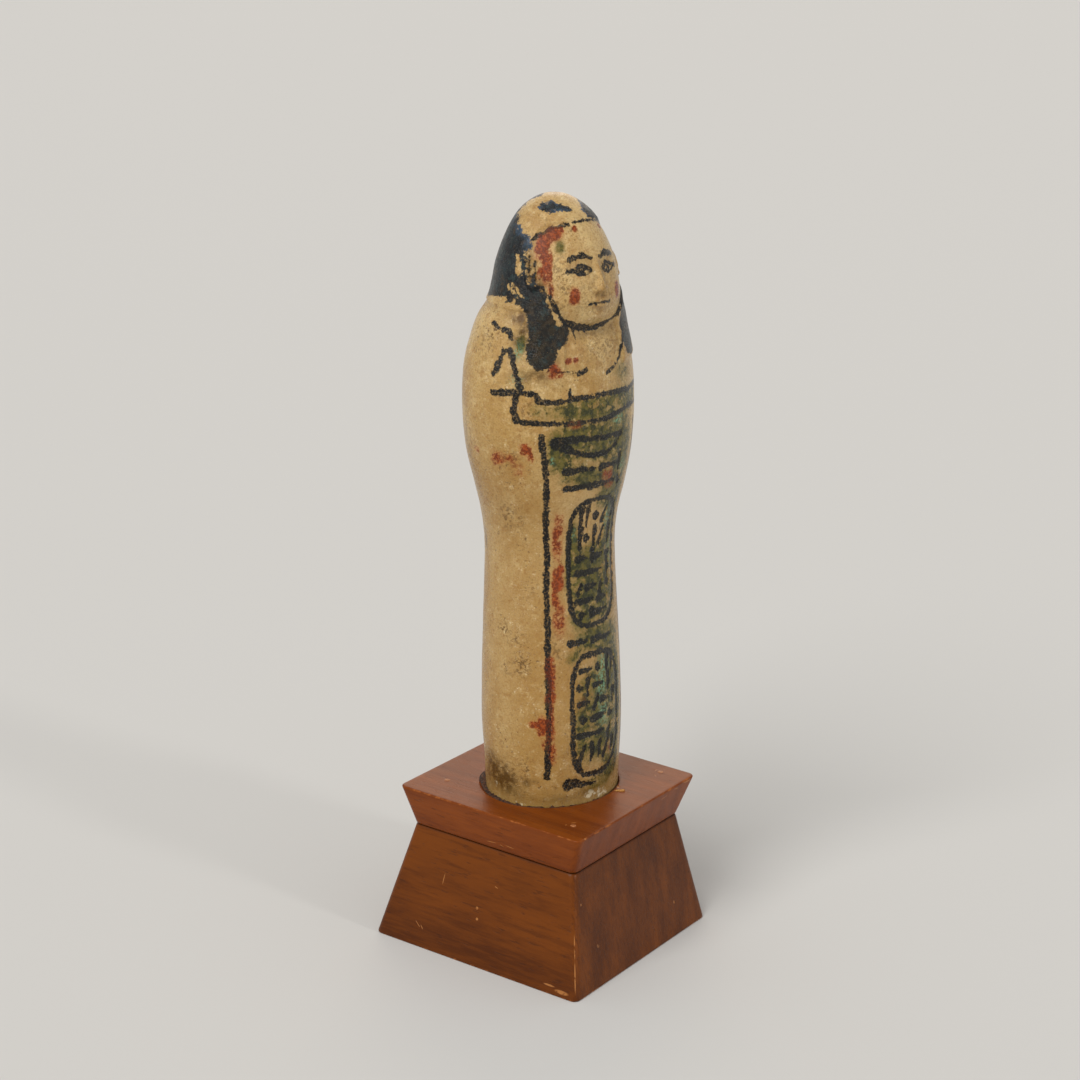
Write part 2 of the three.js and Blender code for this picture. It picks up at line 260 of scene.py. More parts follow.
RINGS = oval_ring(-30, 31, 33.4, 54.0, 0.62, 1.0) + oval_ring(-28.5, 31, 8.4, 28.7, 0.6, 1.05)
SIGN_ROWS = [
    (59.2, ("bar", -20, 14), ("bar", 10, 11), ("tick", 22, 1.2)),
    (56.4, ("bar", -23, 10), ("bar", 3, 14), ("dot", 26, 0.6)),
    (51.2, ("tick", -17, 1.3), ("tick", -10, 1.5), ("dot", 1, 2.4), ("slant", 12, 1.0),
     ("tick", 24, 1.3)),
    (47.6, ("tick", -17, 1.6), ("dot", -8, 1.0), ("tick", 0, 1.5), ("slant", 10, 1.3),
     ("tick", 22, 1.5)),
    (44.4, ("bar", -14, 5), ("tick", -2, 1.0), ("bar", 9, 5), ("bar", 23, 3)),
    (42.0, ("bar", -4, 16), ("tick", 21, 1.2)),
    (39.6, ("slant", -17, 0.8), ("bar", -3, 6), ("slant", 10, 0.9), ("dot", 22, 0.8)),
    (37.4, ("bar", -11, 9), ("bar", 12, 7)),
    (35.3, ("dot", -14, 1.2), ("tick", -5, 0.7), ("bar", 8, 8)),
    (30.9, ("bar", -19, 9), ("bar", 9, 13)),
    (26.2, ("bar", -12, 6), ("dot", 3, 1.6), ("tick", 14, 1.0), ("tick", 22, 1.2)),
    (23.4, ("dot", -19, 1.0), ("tick", -11, 1.3), ("bar", 3, 5), ("tick", 16, 1.2)),
    (20.7, ("bar", -15, 5), ("slant", -1, 1.0), ("bar", 11, 5), ("tick", 23, 1.2)),
    (18.0, ("dot", -15, 1.4), ("bar", 3, 9), ("dot", 19, 1.0)),
    (15.4, ("bar", -7, 14), ("slant", 17, 0.8)),
    (12.3, ("slant", -17, 1.3), ("tick", -7, 1.4), ("tick", 3, 1.3), ("slant", 13, 1.2),
     ("tick", 22, 1.1)),
]
SIGNS = [
    (1.1, [(-41, 64.0), (-34, 64.2), (-20, 64.3), (-4, 63.9), (10, 63.8), (25, 63.9)]),
    (1.5, [(-41, 63.9), (-34, 63.0), (-27, 62.3)]),
    (0.9, [(-28, 62.5), (-20, 61.7), (-8, 61.3), (6, 61.5), (17, 62.4), (25, 63.7)]),
    (1.6, [(-31.5, 7.3), (-26, 7.5), (-20, 7.2), (-14, 7.0)]),
    (0.6, [(-14, 7.0), (-6, 6.8), (2, 6.9)]),
]
for row_up, *row_marks in SIGN_ROWS:
    SIGNS += row_of_strokes(row_up, row_marks)

# Painted eyes and brows follow the carving; both sides are the same
FACE_STROKES = []
for side in (-1, 1):
    eye_turn = math.degrees(EYE_ACROSS / HEAD_RADIUS)
    lid = [(side * (eye_turn + x), EYE_UP + 0.62 * (1 - (x / 10.5) ** 2)) for x in (-9.5, -5, 0, 5, 9.5)]
    under = [(side * (eye_turn + x), EYE_UP - 0.5 * (1 - (x / 10.5) ** 2)) for x in (-9.5, -5, 0, 5, 9.5)]
    arch = [(side * (eye_turn + x), BROW_UP + 0.5 - (x / 19) ** 2) for x in (-12, -6, 0, 7, 14)]
    FACE_STROKES += [
        (0.8, lid + [(side * (eye_turn + 15.5), EYE_UP - 0.1)]),
        (0.6, under),
        (0.9, arch),
        (1.05, [(side * (eye_turn - 0.6), EYE_UP + 0.02), (side * (eye_turn + 0.6), EYE_UP + 0.02)]),
    ]
FACE_STROKES += [(0.55, [(-13, MOUTH_UP - 0.05), (0, MOUTH_UP), (13, MOUTH_UP - 0.05)])]

# Soft patches of colour: degrees, height, half spread in degrees, half height, strength
GREEN_WASH = [
    (-6, 68.7, 36, 1.7, 1.2), (34, 68.8, 20, 1.7, 1.0), (-52, 68.8, 8, 1.6, 0.3),
    (-24, 65.2, 20, 1.6, 0.6), (12, 65.0, 24, 1.8, 0.7), (30, 62.0, 12, 4.0, 0.8),
    (-20, 62.8, 22, 2.4, 0.8), (8, 62.6, 22, 2.2, 0.8), (-38, 61.8, 8, 3.4, 0.9),
    (-14, 58.0, 20, 1.8, 0.85), (20, 57.5, 16, 3.4, 0.9), (14, 53.9, 18, 1.9, 0.9),
    (24, 48.0, 12, 5.0, 0.9), (-24, 46.0, 6, 6.0, 0.9), (0, 45.8, 16, 1.4, 0.6),
    (-2, 41.4, 26, 3.4, 1.4), (8, 37.0, 24, 2.6, 1.4), (-16, 34.6, 12, 1.6, 0.8),
    (6, 31.2, 28, 1.9, 1.2), (-26, 28.6, 8, 1.2, 0.6), (14, 22.0, 14, 6.8, 1.3),
    (32, 21.0, 8, 7.5, 1.4), (-18, 19.0, 8, 7.0, 0.7), (8, 13.6, 24, 3.4, 0.9),
    (26, 9.4, 12, 2.4, 1.2), (-2, 24.0, 12, 3.0, 0.6), (-4, 19.2, 10, 1.8, 0.7),
    (4, 6.6, 18, 1.5, 0.6), (-42, 93.2, 6, 1.0, 0.9), (-65, 78.8, 4, 1.6, 0.8),
    (30, 73.0, 16, 2.0, 0.5),
]
MINT = [
    (-66, 77.6, 3.0, 1.1, 0.9), (-66, 73.6, 4.5, 1.2, 0.5), (20, 66.2, 6.0, 0.7, 1.2),
    (10, 26.6, 7, 1.6, 1.0), (6, 23.4, 6, 1.6, 1.2), (9, 18.2, 7, 1.6, 1.1),
    (16, 50.2, 6, 1.6, 0.6), (28, 58.6, 5, 1.2, 0.5), (-43.5, 61.0, 1.4, 0.6, 0.9),
    (24, 44.0, 5, 2.0, 0.4), (-24, 48.5, 2.5, 1.2, 0.5), (4, 20.6, 4, 0.6, 0.6),
]
RED = [
    (-61, 62.9, 3.6, 0.9, 0.9), (-57.5, 61.6, 2.2, 0.7, 0.7), (-79.5, 60.9, 4.5, 1.4, 0.5),
    (-71, 61.4, 5, 0.8, 0.35), (-66, 59.5, 6, 1.8, 0.25), (-95, 61.6, 3, 0.7, 0.4),
    (-46.4, 27.2, 4.2, 2.2, 0.95), (-45.3, 24.0, 3.2, 2.0, 0.65), (-46.5, 22.2, 4.6, 0.8, 0.75),
    (-51.5, 17.5, 5.0, 1.7, 1.0), (-59, 17.9, 4.5, 0.5, 0.95), (-45, 18.6, 2.2, 1.1, 0.6),
    (-44.8, 12.8, 3.2, 1.6, 0.8), (-45, 16.4, 3.2, 1.0, 0.6), (-45.6, 20.2, 2.4, 1.2, 0.5),
    (-50, 14.6, 4.0, 1.2, 0.5), (-39, 41.2, 5.0, 1.7, 0.95), (-35.5, 43.0, 3.0, 0.8, 0.7),
    (-41, 38.6, 3.5, 1.2, 0.6),
    (-39, 47.5, 5.0, 3.2, 0.55), (-38, 35.0, 6.0, 2.8, 0.55), (-37, 51.0, 5.0, 2.0, 0.3),
    (-26, 66.6, 7.0, 0.7, 0.45), (8, 57.8, 6.0, 1.4, 0.6), (12, 55.9, 6.0, 0.6, 0.5),
    (-42, 75.0, 4.5, 1.1, 0.85), (-36, 74.5, 3.5, 0.7, 0.4), (-30, 76.3, 3.2, 0.4, 1.0),
    (-23.5, 76.3, 2.4, 0.4, 0.9), (-20, 21.0, 8.0, 1.6, 0.25), (18, 12.0, 6.0, 1.5, 0.3),
    (-48, 95.0, 9, 0.9, 0.9), (-60, 93.6, 8, 1.3, 0.95), (-64, 92.2, 5.5, 1.2, 0.5),
    (-56, 91.2, 5.5, 1.3, 0.85), (-60, 89.4, 4.5, 1.2, 0.6), (-54, 88.8, 4.0, 1.2, 0.7),
    (-38, 95.5, 3, 0.4, 0.7), (-19, 95.6, 4.5, 0.45, 0.7), (-51, 86.6, 3.2, 1.2, 0.55),
    (38, 95.4, 6, 0.5, 0.7),
    (-29, 86.1, 5.0, 1.2, 1.1), (29, 86.1, 5.0, 1.2, 1.1),
]
BROWN_STAIN = [
    (-64, 88.2, 9, 2.4, 1.0), (-73, 90.2, 4, 1.8, 0.5), (-66, 85.8, 8, 1.2, 0.5), (-56, 81, 6, 2.4, 0.5),
    (-64, 80.6, 5, 2.4, 0.55), (-50, 76.6, 9, 1.4, 0.5), (-78, 82.6, 8, 0.8, 0.35),
    (-92, 8.4, 14, 2.2, 1.0), (-82, 7.2, 10, 1.6, 1.0), (-100, 10.5, 8, 1.4, 0.7),
    (-66, 7.9, 3.0, 0.8, 1.0), (-60, 8.2, 3, 0.5, 0.5),
    (-10, 5.6, 12, 0.9, 0.8), (16, 6.6, 6, 1.0, 0.8), (30, 8.6, 8, 1.2, 0.5), (-104, 7.0, 14, 2.0, 0.5),
    (-112, 46.0, 3, 1.8, 0.9), (24, 8.2, 9, 1.6, 0.8), (-76, 5.4, 16, 0.6, 0.5), (-40, 5.0, 16, 0.6, 0.5),
    (-66, 79.4, 5, 3.0, 0.7), (-56, 74.2, 12, 1.0, 0.9), (-40, 76.0, 4, 1.4, 0.5),
    (-72, 82.6, 6, 1.0, 0.6), (-106, 62, 3, 4, 0.3),
    (140, 40, 30, 14, 0.3), (-160, 66, 24, 8, 0.25), (100, 12, 24, 4, 0.5), (170, 9, 30, 3, 0.6),
]
SPECKLES = [
    (-71, 61.2, 7, 1.4, 1.0), (-79, 51.4, 6, 2.4, 0.8), (-68, 51.0, 4, 1.6, 0.5),
    (-85, 32.8, 4, 1.0, 1.0), (-69, 27.6, 7, 2.0, 0.9), (-81, 26.6, 5, 0.9, 1.0),
    (-73, 31.8, 9, 1.4, 0.6), (-62, 40.0, 5, 1.2, 0.7), (-88, 78.5, 7, 2.4, 0.6),
    (-84, 80.2, 3, 0.8, 1.0), (-66, 10.5, 5, 2.0, 0.7), (-88, 8.4, 18, 2.6, 0.9),
    (-20, 10.8, 16, 5.0, 0.5), (-40, 30.5, 6, 3.0, 0.6), (0, 86.5, 34, 4.5, 0.45),
    (-44, 88.0, 12, 5.0, 0.7), (8, 77.5, 26, 2.4, 0.6), (-104, 60, 10, 9, 0.4),
    (-58, 69.0, 6, 1.6, 0.8), (-42, 62.8, 8, 2.6, 0.7),
]
# Masses of wig paint, as outlines; the first runs round the back, so its degrees go to 360
BACK_OF_WIG = [
    (288, 102), (288, 94.3), (287, 93.0), (284, 92.2), (285, 91.0), (286.5, 89.6), (288, 88.5),
    (291, 87.8), (295, 88.3), (298, 87.2), (297, 85.9), (290, 85.8), (285, 85.1), (279, 85.4),
    (276, 84.6), (271, 84.4), (269, 85.3), (262, 85.0), (254, 84.8), (240, 84.3), (214, 84.1),
    (180, 83.9), (140, 84.1), (108, 84.4), (88, 84.8), (76, 85.4), (72, 87), (71, 89), (74, 91),
    (75, 93), (72, 94.4), (60, 95.6), (48, 96.1), (36, 96.4), (20, 96.7), (8, 96.8), (8, 102),
]
RIGHT_LAPPET = [
    (-67, 87.8), (-60, 86.7), (-54, 86.3), (-51, 86.3), (-46, 85.1), (-41, 83.7), (-36, 82.4),
    (-31, 81.8), (-28.5, 80.6), (-30, 79.2), (-34, 78.6), (-39, 78.1), (-40, 76.8), (-43, 76.0),
    (-46, 75.1), (-53, 75.1), (-57, 75.8), (-60, 76.7), (-61.5, 78.2), (-60.5, 80), (-62.5, 81.7),
    (-68, 83.2), (-74, 84.2), (-80, 84.5), (-80, 85.4), (-72, 86.0),
]
LEFT_LAPPET = [
    (50, 86.2), (43, 84.0), (38, 82.2), (35.5, 79.4), (36, 77.0), (40, 75.5), (50, 75.0),
    (59, 75.6), (63, 78), (62, 81.4), (67, 83.0), (78, 84.4), (78, 85.4), (66, 87.4),
]
PALE_STREAKS = [
    (0.9, [(-84.5, 91.2), (-82.5, 90.2), (-82, 89.2)]),
    (0.75, [(-51.5, 85.3), (-47, 84.2), (-42, 82.7), (-39.5, 81.9)]),
    (0.3, [(-86, 87.3), (-80, 86.6), (-76, 85.8)]),
    (0.3, [(-90, 86.9), (-83, 86.1)]),
]

# The crown was left bare; its outline and the dab of paint on it are seen from above, in parts
BARE_CROWN = [
    (-6.8, 2.2), (-7.6, 0.5), (-7.1, -0.6), (-6.0, -1.7), (-5.1, -2.9), (-4.4, -2.5), (-4.1, -0.9),
    (-3.4, 0.1), (-2.4, -0.5), (-0.8, -1.3), (1.2, -1.1), (2.4, 0.2), (2.7, 1.9), (1.7, 3.5),
    (0.9, 4.6), (1.2, 5.5), (3.4, 5.7), (4.0, 9.5), (-9.5, 9.5), (-9.5, 3.0),
]
CROWN_DAB = [
    (-4.8, 0.7), (-4.8, 1.8), (-4.3, 2.8), (-3.8, 3.4), (-3.1, 3.7), (-2.2, 4.2), (-1.2, 4.5),
    (-0.7, 4.4), (-1.1, 3.7), (-1.7, 3.4), (-1.5, 2.8), (-2.3, 2.5), (-2.6, 1.7), (-3.4, 1.4),
    (-3.6, 0.6), (-4.2, 0.9),
]


NO_PAINT_MM = -3.0


def stroke_reach(strokes, across_mm, up_mm, radius_of, taper=0.0):
    """How far inside the nearest stroke each place is, in mm; negative outside, down to NO_PAINT_MM."""
    best = np.full(across_mm.shape, NO_PAINT_MM)
    for half_width, points in strokes:
        angles = np.radians([p[0] for p in points])
        heights = np.array([p[1] for p in points])
        xs = angles * radius_of(heights)
        ys = heights * PART_MM
        last = len(xs) - 1
        for step, (x0, y0, x1, y1) in enumerate(zip(xs, ys, xs[1:], ys[1:])):
            run = np.array((x1 - x0, y1 - y0))
            t = ((across_mm - x0) * run[0] + (up_mm - y0) * run[1]) / max(run @ run, 1e-9)
            t = np.clip(t, 0, 1)
            away = np.hypot(across_mm - x0 - t * run[0], up_mm - y0 - t * run[1])
            width_here = half_width * (1 + taper * (0.5 - (step + t) / last))
            best = np.maximum(best, width_here - away)
    return best


def outline_reach(corners, across, along):
    """How far inside a closed outline each place is, in the units of both; negative outside."""
    inside = np.zeros(across.shape, bool)
    nearest = np.full(across.shape, 1e9)
    for (x0, y0), (x1, y1) in zip(corners, corners[1:] + corners[:1]):
        crosses = (y0 > along) != (y1 > along)
        where = x0 + (along - y0) * (x1 - x0) / (y1 - y0 if y1 != y0 else 1e-9)
        inside ^= crosses & (across < where)
        run = np.array((x1 - x0, y1 - y0))
        t = np.clip(((across - x0) * run[0] + (along - y0) * run[1]) / max(run @ run, 1e-9), 0, 1)
        nearest = np.minimum(nearest, np.hypot(across - x0 - t * run[0], along - y0 - t * run[1]))
    return np.where(inside, nearest, -nearest)


def wrapped(turn):
    """A turn in degrees brought to between -180 and 180."""
    return (turn + 180) % 360 - 180


PATCH_SHARPNESS, PATCH_LIMIT = 2.6, 1.4


def patches(spots, degrees, up):
    """Soft-edged patches added up, to a limit a little over full strength."""
    total = np.zeros_like(degrees)
    for centre, height, spread, half_height, strength in spots:
        across = np.abs(wrapped(degrees - centre) / spread) ** PATCH_SHARPNESS
        along = np.abs((up - height) / half_height) ** PATCH_SHARPNESS
        total += strength * np.exp(-across - along)
    return np.minimum(total, PATCH_LIMIT)


def body_mesh(name, rings, low_point, high_point):
    """A closed mesh over a stack of rings with equal counts, as (rings, columns, 3)."""
    count = rings.shape[1]
    points = np.concatenate([rings.reshape(-1, 3), [low_point, high_point]])
    index = np.arange(rings.shape[0] * count).reshape(rings.shape[0], count)
    here, there = index, np.roll(index, -1, axis=1)
    quads = np.stack([here[:-1], there[:-1], there[1:], here[1:]], axis=-1).reshape(-1, 4)
    low, high = len(points) - 2, len(points) - 1
    faces = [tuple(q) for q in quads.tolist()]
    faces += [(low, b, a) for a, b in zip(here[0].tolist(), there[0].tolist())]
    faces += [(high, a, b) for a, b in zip(here[-1].tolist(), there[-1].tolist())]
    mesh = bpy.data.meshes.new(name)
    mesh.from_pydata(points.tolist(), [], faces)
    mesh.shade_smooth()
    piece = bpy.data.objects.new(name, mesh)
    bpy.context.scene.collection.objects.link(piece)
    return piece


def keep_on_mesh(piece, name, values, ends=0.0):
    """Stores one number for each ring point of a body mesh, with one value for both end points."""
    layer = piece.data.attributes.new(name, "FLOAT", "POINT")
    layer.data.foreach_set("value", np.append(values.ravel(), (ends, ends)).astype(np.float32))


def unevenness(points, size, seed):
    """Smooth random heights between about -1 and 1, with bumps of the given size in metres."""
    flat = points.reshape(-1, 3) / size + seed
    return np.array([noise.noise(Vector(p)) for p in flat]).reshape(points.shape[:-1])


FIGURINE_COLUMNS, BODY_ROWS, HEAD_ROWS = 350, 184, 86
FRONT_CROWDING, FINEST_ANGLE = 0.45, math.radians(-20)
CROWN_CROWDING, NECK_UP = 0.12, 79

even = np.linspace(-math.pi, math.pi, FIGURINE_COLUMNS, endpoint=False)
angle_row = FINEST_ANGLE + even - FRONT_CROWDING * np.sin(even)
head_steps = np.arange(HEAD_ROWS) / HEAD_ROWS
height_column = np.concatenate([
    NECK_UP * np.arange(BODY_ROWS) / BODY_ROWS,
    NECK_UP + (100 - NECK_UP) * head_steps * (1 + CROWN_CROWDING - CROWN_CROWDING * head_steps),
])
angle, up = np.meshgrid(angle_row, height_column)
degrees = wrapped(np.degrees(angle))
wide, deep, forward = section_at(up)
plain_radius = 1 / np.hypot(np.sin(angle) / wide, np.cos(angle) / deep)


def radius_in_mm(heights):
    """The mean radius at a height, for turning degrees into millimetres round the body."""
    at_wide, at_deep, _ = section_at(np.asarray(heights, float))
    return (at_wide + at_deep) / 2 * PART_MM


across_mm = np.radians(degrees) * radius_in_mm(height_column)[:, None]
up_mm = up * PART_MM
sign_reach = stroke_reach(SIGNS, across_mm, up_mm, radius_in_mm, 0.75)
sign_reach = np.maximum(sign_reach, stroke_reach(RINGS, across_mm, up_mm, radius_in_mm))
line_reach = stroke_reach(TOOL_STROKES + FRAME_STROKES + WIG_STROKES, across_mm, up_mm, radius_in_mm)
face_reach = stroke_reach(FACE_STROKES, across_mm, up_mm, radius_in_mm)
wig_depth = inside_wig(degrees, up)

FACE_SIDE_ANGLES, FACE_FADE_UPS, WIG_FADE_UP = (46, 66), (93, 97), 97
near_face = 1 - eased(np.abs(degrees), *FACE_SIDE_ANGLES)
below_crown = 1 - eased(up, *FACE_FADE_UPS)
face = near_face * face_rise(np.radians(degrees) * HEAD_RADIUS, up)
carved = (face + ear_rise(degrees, up)) * below_crown
wig = WIG_RISE * eased(wig_depth, -WIG_EDGE_SLOPE, WIG_EDGE_SLOPE) * (1 - eased(up, WIG_FADE_UP, 100))
radius = plain_radius + wig + carved
SIGN_DEPTH_MM, SIGN_EDGE_MM = 0.2, (-0.25, 0.35)
radius -= SIGN_DEPTH_MM / PART_MM * eased(sign_reach, *SIGN_EDGE_MM)


def turned_with_figurine(x, y):
    """A place turned as the figurine stands turned in its socket."""
    turned_x = x * math.cos(FIGURINE_TURN) - y * math.sin(FIGURINE_TURN)
    turned_y = x * math.sin(FIGURINE_TURN) + y * math.cos(FIGURINE_TURN)
    return turned_x, turned_y


def figurine_points(radius):
    """Points of the skin in the shared frame, in metres, from radii in parts."""
    x = (radius * np.sin(angle) - LEAN_RIGHT * up) * PART
    y = (-radius * np.cos(angle) - forward + LEAN_BACK * up) * PART
    x, y = turned_with_figurine(x, y)
    x += FOOT_SLIDE * math.cos(FOOT_SLIDE_HEADING)
    y += FOOT_SLIDE * math.sin(FOOT_SLIDE_HEADING)
    return np.stack([x, y, foot_corner[2] + up * PART], axis=-1)


# Knocks along the foot's edge and the wig's hem, laid out as the patches of colour are
KNOCKS = [
    (-2, 5.0, 15, 0.9, 0.4), (8, 4.2, 10, 0.7, 0.3), (-58, 4.4, 12, 0.4, 0.15),
    (-96, 6.5, 5, 1.4, 0.12), (-72, 4.2, 5, 0.5, 0.2), (96, 6, 8, 1.4, 0.4),
    (-150, 83.5, 6, 0.8, 0.25),
]
KNOCK_DEPTH, KNOCK_CRUMBS, FLAT_FOOT_UP = 0.45, 0.5, 6
BROAD_WAVES, SMALL_WAVES = 0.055, 0.02
smooth_skin = figurine_points(radius)
broad = BROAD_WAVES * unevenness(smooth_skin, 16 * MILLIMETRE, 3.0)
small = SMALL_WAVES * unevenness(smooth_skin, 5 * MILLIMETRE, 9.0)
crumbs = KNOCK_CRUMBS * unevenness(smooth_skin, 2 * MILLIMETRE, 1.0)
knocks = patches(KNOCKS, degrees, up) * (1 + crumbs)
radius = radius + (broad + small) * eased(up, 0, FLAT_FOOT_UP) - KNOCK_DEPTH * knocks
skin = figurine_points(radius)
middle_of_foot = skin[0].mean(axis=0)
crown = skin[-1].mean(axis=0) + Vector((0, 0, 0.2 * MILLIMETRE))
figurine = body_mesh("figurine_carved", skin, middle_of_foot, crown)


def wig_outline(corners, turned):
    """How far inside an outline given in degrees and parts each place is, in mm."""
    flat = [(math.radians(x) * float(radius_in_mm(y)), y * PART_MM) for x, y in corners]
    return outline_reach(flat, np.radians(turned) * radius_in_mm(height_column)[:, None], up_mm)


OFF_CROWN_MM = -9


def seen_from_above(corners, lowest):
    """How far inside an outline on the crown each place is, in mm; well outside it lower down."""
    reach = outline_reach(corners, radius * np.sin(angle), radius * np.cos(angle))
    return np.where(up > lowest, reach * PART_MM, OFF_CROWN_MM)


bare_crown = seen_from_above(BARE_CROWN, 90)
crown_dab = seen_from_above(CROWN_DAB, 94)
wig_paint = np.minimum(wig_outline(BACK_OF_WIG, degrees % 360), -bare_crown)
for paint in (wig_outline(RIGHT_LAPPET, degrees), wig_outline(LEFT_LAPPET, degrees), crown_dab):
    wig_paint = np.maximum(wig_paint, paint)
wig_paint = np.minimum(wig_paint, -stroke_reach(PALE_STREAKS, across_mm, up_mm, radius_in_mm))

# The skin is darkened where it lies lower than its surroundings, from the shoulders to the brow
ROWS_AWAY, COLUMNS_AWAY, HOLLOW_STRENGTH = 6, 8, 3
SHOULDER_UPS, BROW_UPS = (60, 70), (95, 97)
neighbours = np.roll(radius, ROWS_AWAY, axis=0) + np.roll(radius, -ROWS_AWAY, axis=0)
neighbours += np.roll(radius, COLUMNS_AWAY, axis=1) + np.roll(radius, -COLUMNS_AWAY, axis=1)
hollow = np.clip((neighbours / 4 - radius) * HOLLOW_STRENGTH, 0, 1)
hollow *= eased(up, *SHOULDER_UPS) * (1 - eased(up, *BROW_UPS))

ink_reach = np.maximum(np.maximum(sign_reach, line_reach), face_reach)
WIG_PAINT_LIMIT_MM = 6
keep_on_mesh(figurine, "ink", ink_reach, NO_PAINT_MM)
wig_reach = np.clip(wig_paint, -WIG_PAINT_LIMIT_MM, WIG_PAINT_LIMIT_MM)
keep_on_mesh(figurine, "wig", wig_reach, -WIG_PAINT_LIMIT_MM)
keep_on_mesh(figurine, "hollow", hollow)
keep_on_mesh(figurine, "height", up)
for layer, spots in (
    ("green", GREEN_WASH),
    ("mint", MINT),
    ("red", RED),
    ("stain", BROWN_STAIN),
    ("speckle", SPECKLES),
    ("chip", KNOCKS),
):
    keep_on_mesh(figurine, layer, patches(spots, degrees, up))


def shade(red, green, blue):
    """A colour as a maker reads it off a chart, 0 to 255, for a shader's linear light."""
    linear = [((c / 255 + 0.055) / 1.055) ** 2.4 if c > 10 else c / 3295 for c in (red, green, blue)]
    return (*linear, 1)


def new_finish(name):
    """A fresh node material with its tree and its one shader."""
    finish = bpy.data.materials.new(name)
    finish.use_nodes = True
    tree = finish.node_tree
    return finish, tree, tree.nodes["Principled BSDF"]


def plug_in(value, socket):
    """Joins an output to a socket, or sets the socket to a plain value."""
    if isinstance(value, bpy.types.NodeSocket):
        socket.id_data.links.new(value, socket)
    else:
        socket.default_value = value


def maths(operation, first, second):
    """One step of arithmetic on two outputs, or on an output and a number."""
    output = first if isinstance(first, bpy.types.NodeSocket) else second
    step = output.id_data.nodes.new("ShaderNodeMath")
    step.operation = operation
    plug_in(first, step.inputs[0])
    plug_in(second, step.inputs[1])
    return step.outputs[0]


def times(first, second):
    """The product of the two."""
    return maths("MULTIPLY", first, second)


def plus(first, second):
    """The sum of the two."""
    return maths("ADD", first, second)


def minus(first, second):
    """The first less the second."""
    return maths("SUBTRACT", first, second)


def larger(first, second):
    """The larger of the two."""
    return maths("MAXIMUM", first, second)


def fade(value, low, high):
    """0 below low, 1 above high, smooth between; low may be above high."""
    step = value.id_data.nodes.new("ShaderNodeMapRange")
    step.interpolation_type = "SMOOTHSTEP"
    plug_in(value, step.inputs["Value"])
    step.inputs["From Min"].default_value = low
    step.inputs["From Max"].default_value = high
    return step.outputs["Result"]


def blended(share, under, over):
    """The colour over laid on the colour under, by share."""
    step = share.id_data.nodes.new("ShaderNodeMix")
    step.data_type = "RGBA"
    plug_in(share, step.inputs["Factor"])
    plug_in(under, step.inputs["A"])
    plug_in(over, step.inputs["B"])
    return step.outputs["Result"]


def tinted(under, mask, strength, over):
    """The colour over laid on the colour under where the mask is 1, at the given strength."""
    return blended(times(mask, strength), under, over)


def place_on(tree, stretch=(1, 1, 1), turn=(0, 0, 0), shift=(0, 0, 0)):
    """Places on the piece in metres, moved, turned and stretched."""
    where = tree.nodes.new("ShaderNodeTexCoord")
    step = tree.nodes.new("ShaderNodeMapping")
    step.inputs["Location"].default_value = shift
    step.inputs["Rotation"].default_value = turn
    step.inputs["Scale"].default_value = stretch
    tree.links.new(where.outputs["Object"], step.inputs["Vector"])
    return step.outputs["Vector"]


def cloud(place, size, detail=3.0, roughness=0.55):
    """Soft noise, 0 to 1, with blots of the given size in metres."""
    step = place.id_data.nodes.new("ShaderNodeTexNoise")
    plug_in(place, step.inputs["Vector"])
    step.inputs["Scale"].default_value = 1 / size
    step.inputs["Detail"].default_value = detail
    step.inputs["Roughness"].default_value = roughness
    return step.outputs["Fac"]


def stored(tree, name):
    """A number kept on the mesh."""
    step = tree.nodes.new("ShaderNodeAttribute")
    step.attribute_name = name
    return step.outputs["Fac"]


def rough_surface(height, depth, socket):
    """Fine unevenness of a surface or of its clear coat, depth in metres."""
    step = height.id_data.nodes.new("ShaderNodeBump")
    step.inputs["Distance"].default_value = depth
    plug_in(height, step.inputs["Height"])
    plug_in(step.outputs["Normal"], socket)


def crystals(place, size):
    """A random number from 0 to 1 for each little grain of a sugary stone, and the grains' relief."""
    step = place.id_data.nodes.new("ShaderNodeTexVoronoi")
    plug_in(place, step.inputs["Vector"])
    step.inputs["Scale"].default_value = 1 / size
    parts = place.id_data.nodes.new("ShaderNodeSeparateColor")
    plug_in(step.outputs["Color"], parts.inputs["Color"])
    return parts.outputs["Red"], step.outputs["Distance"]


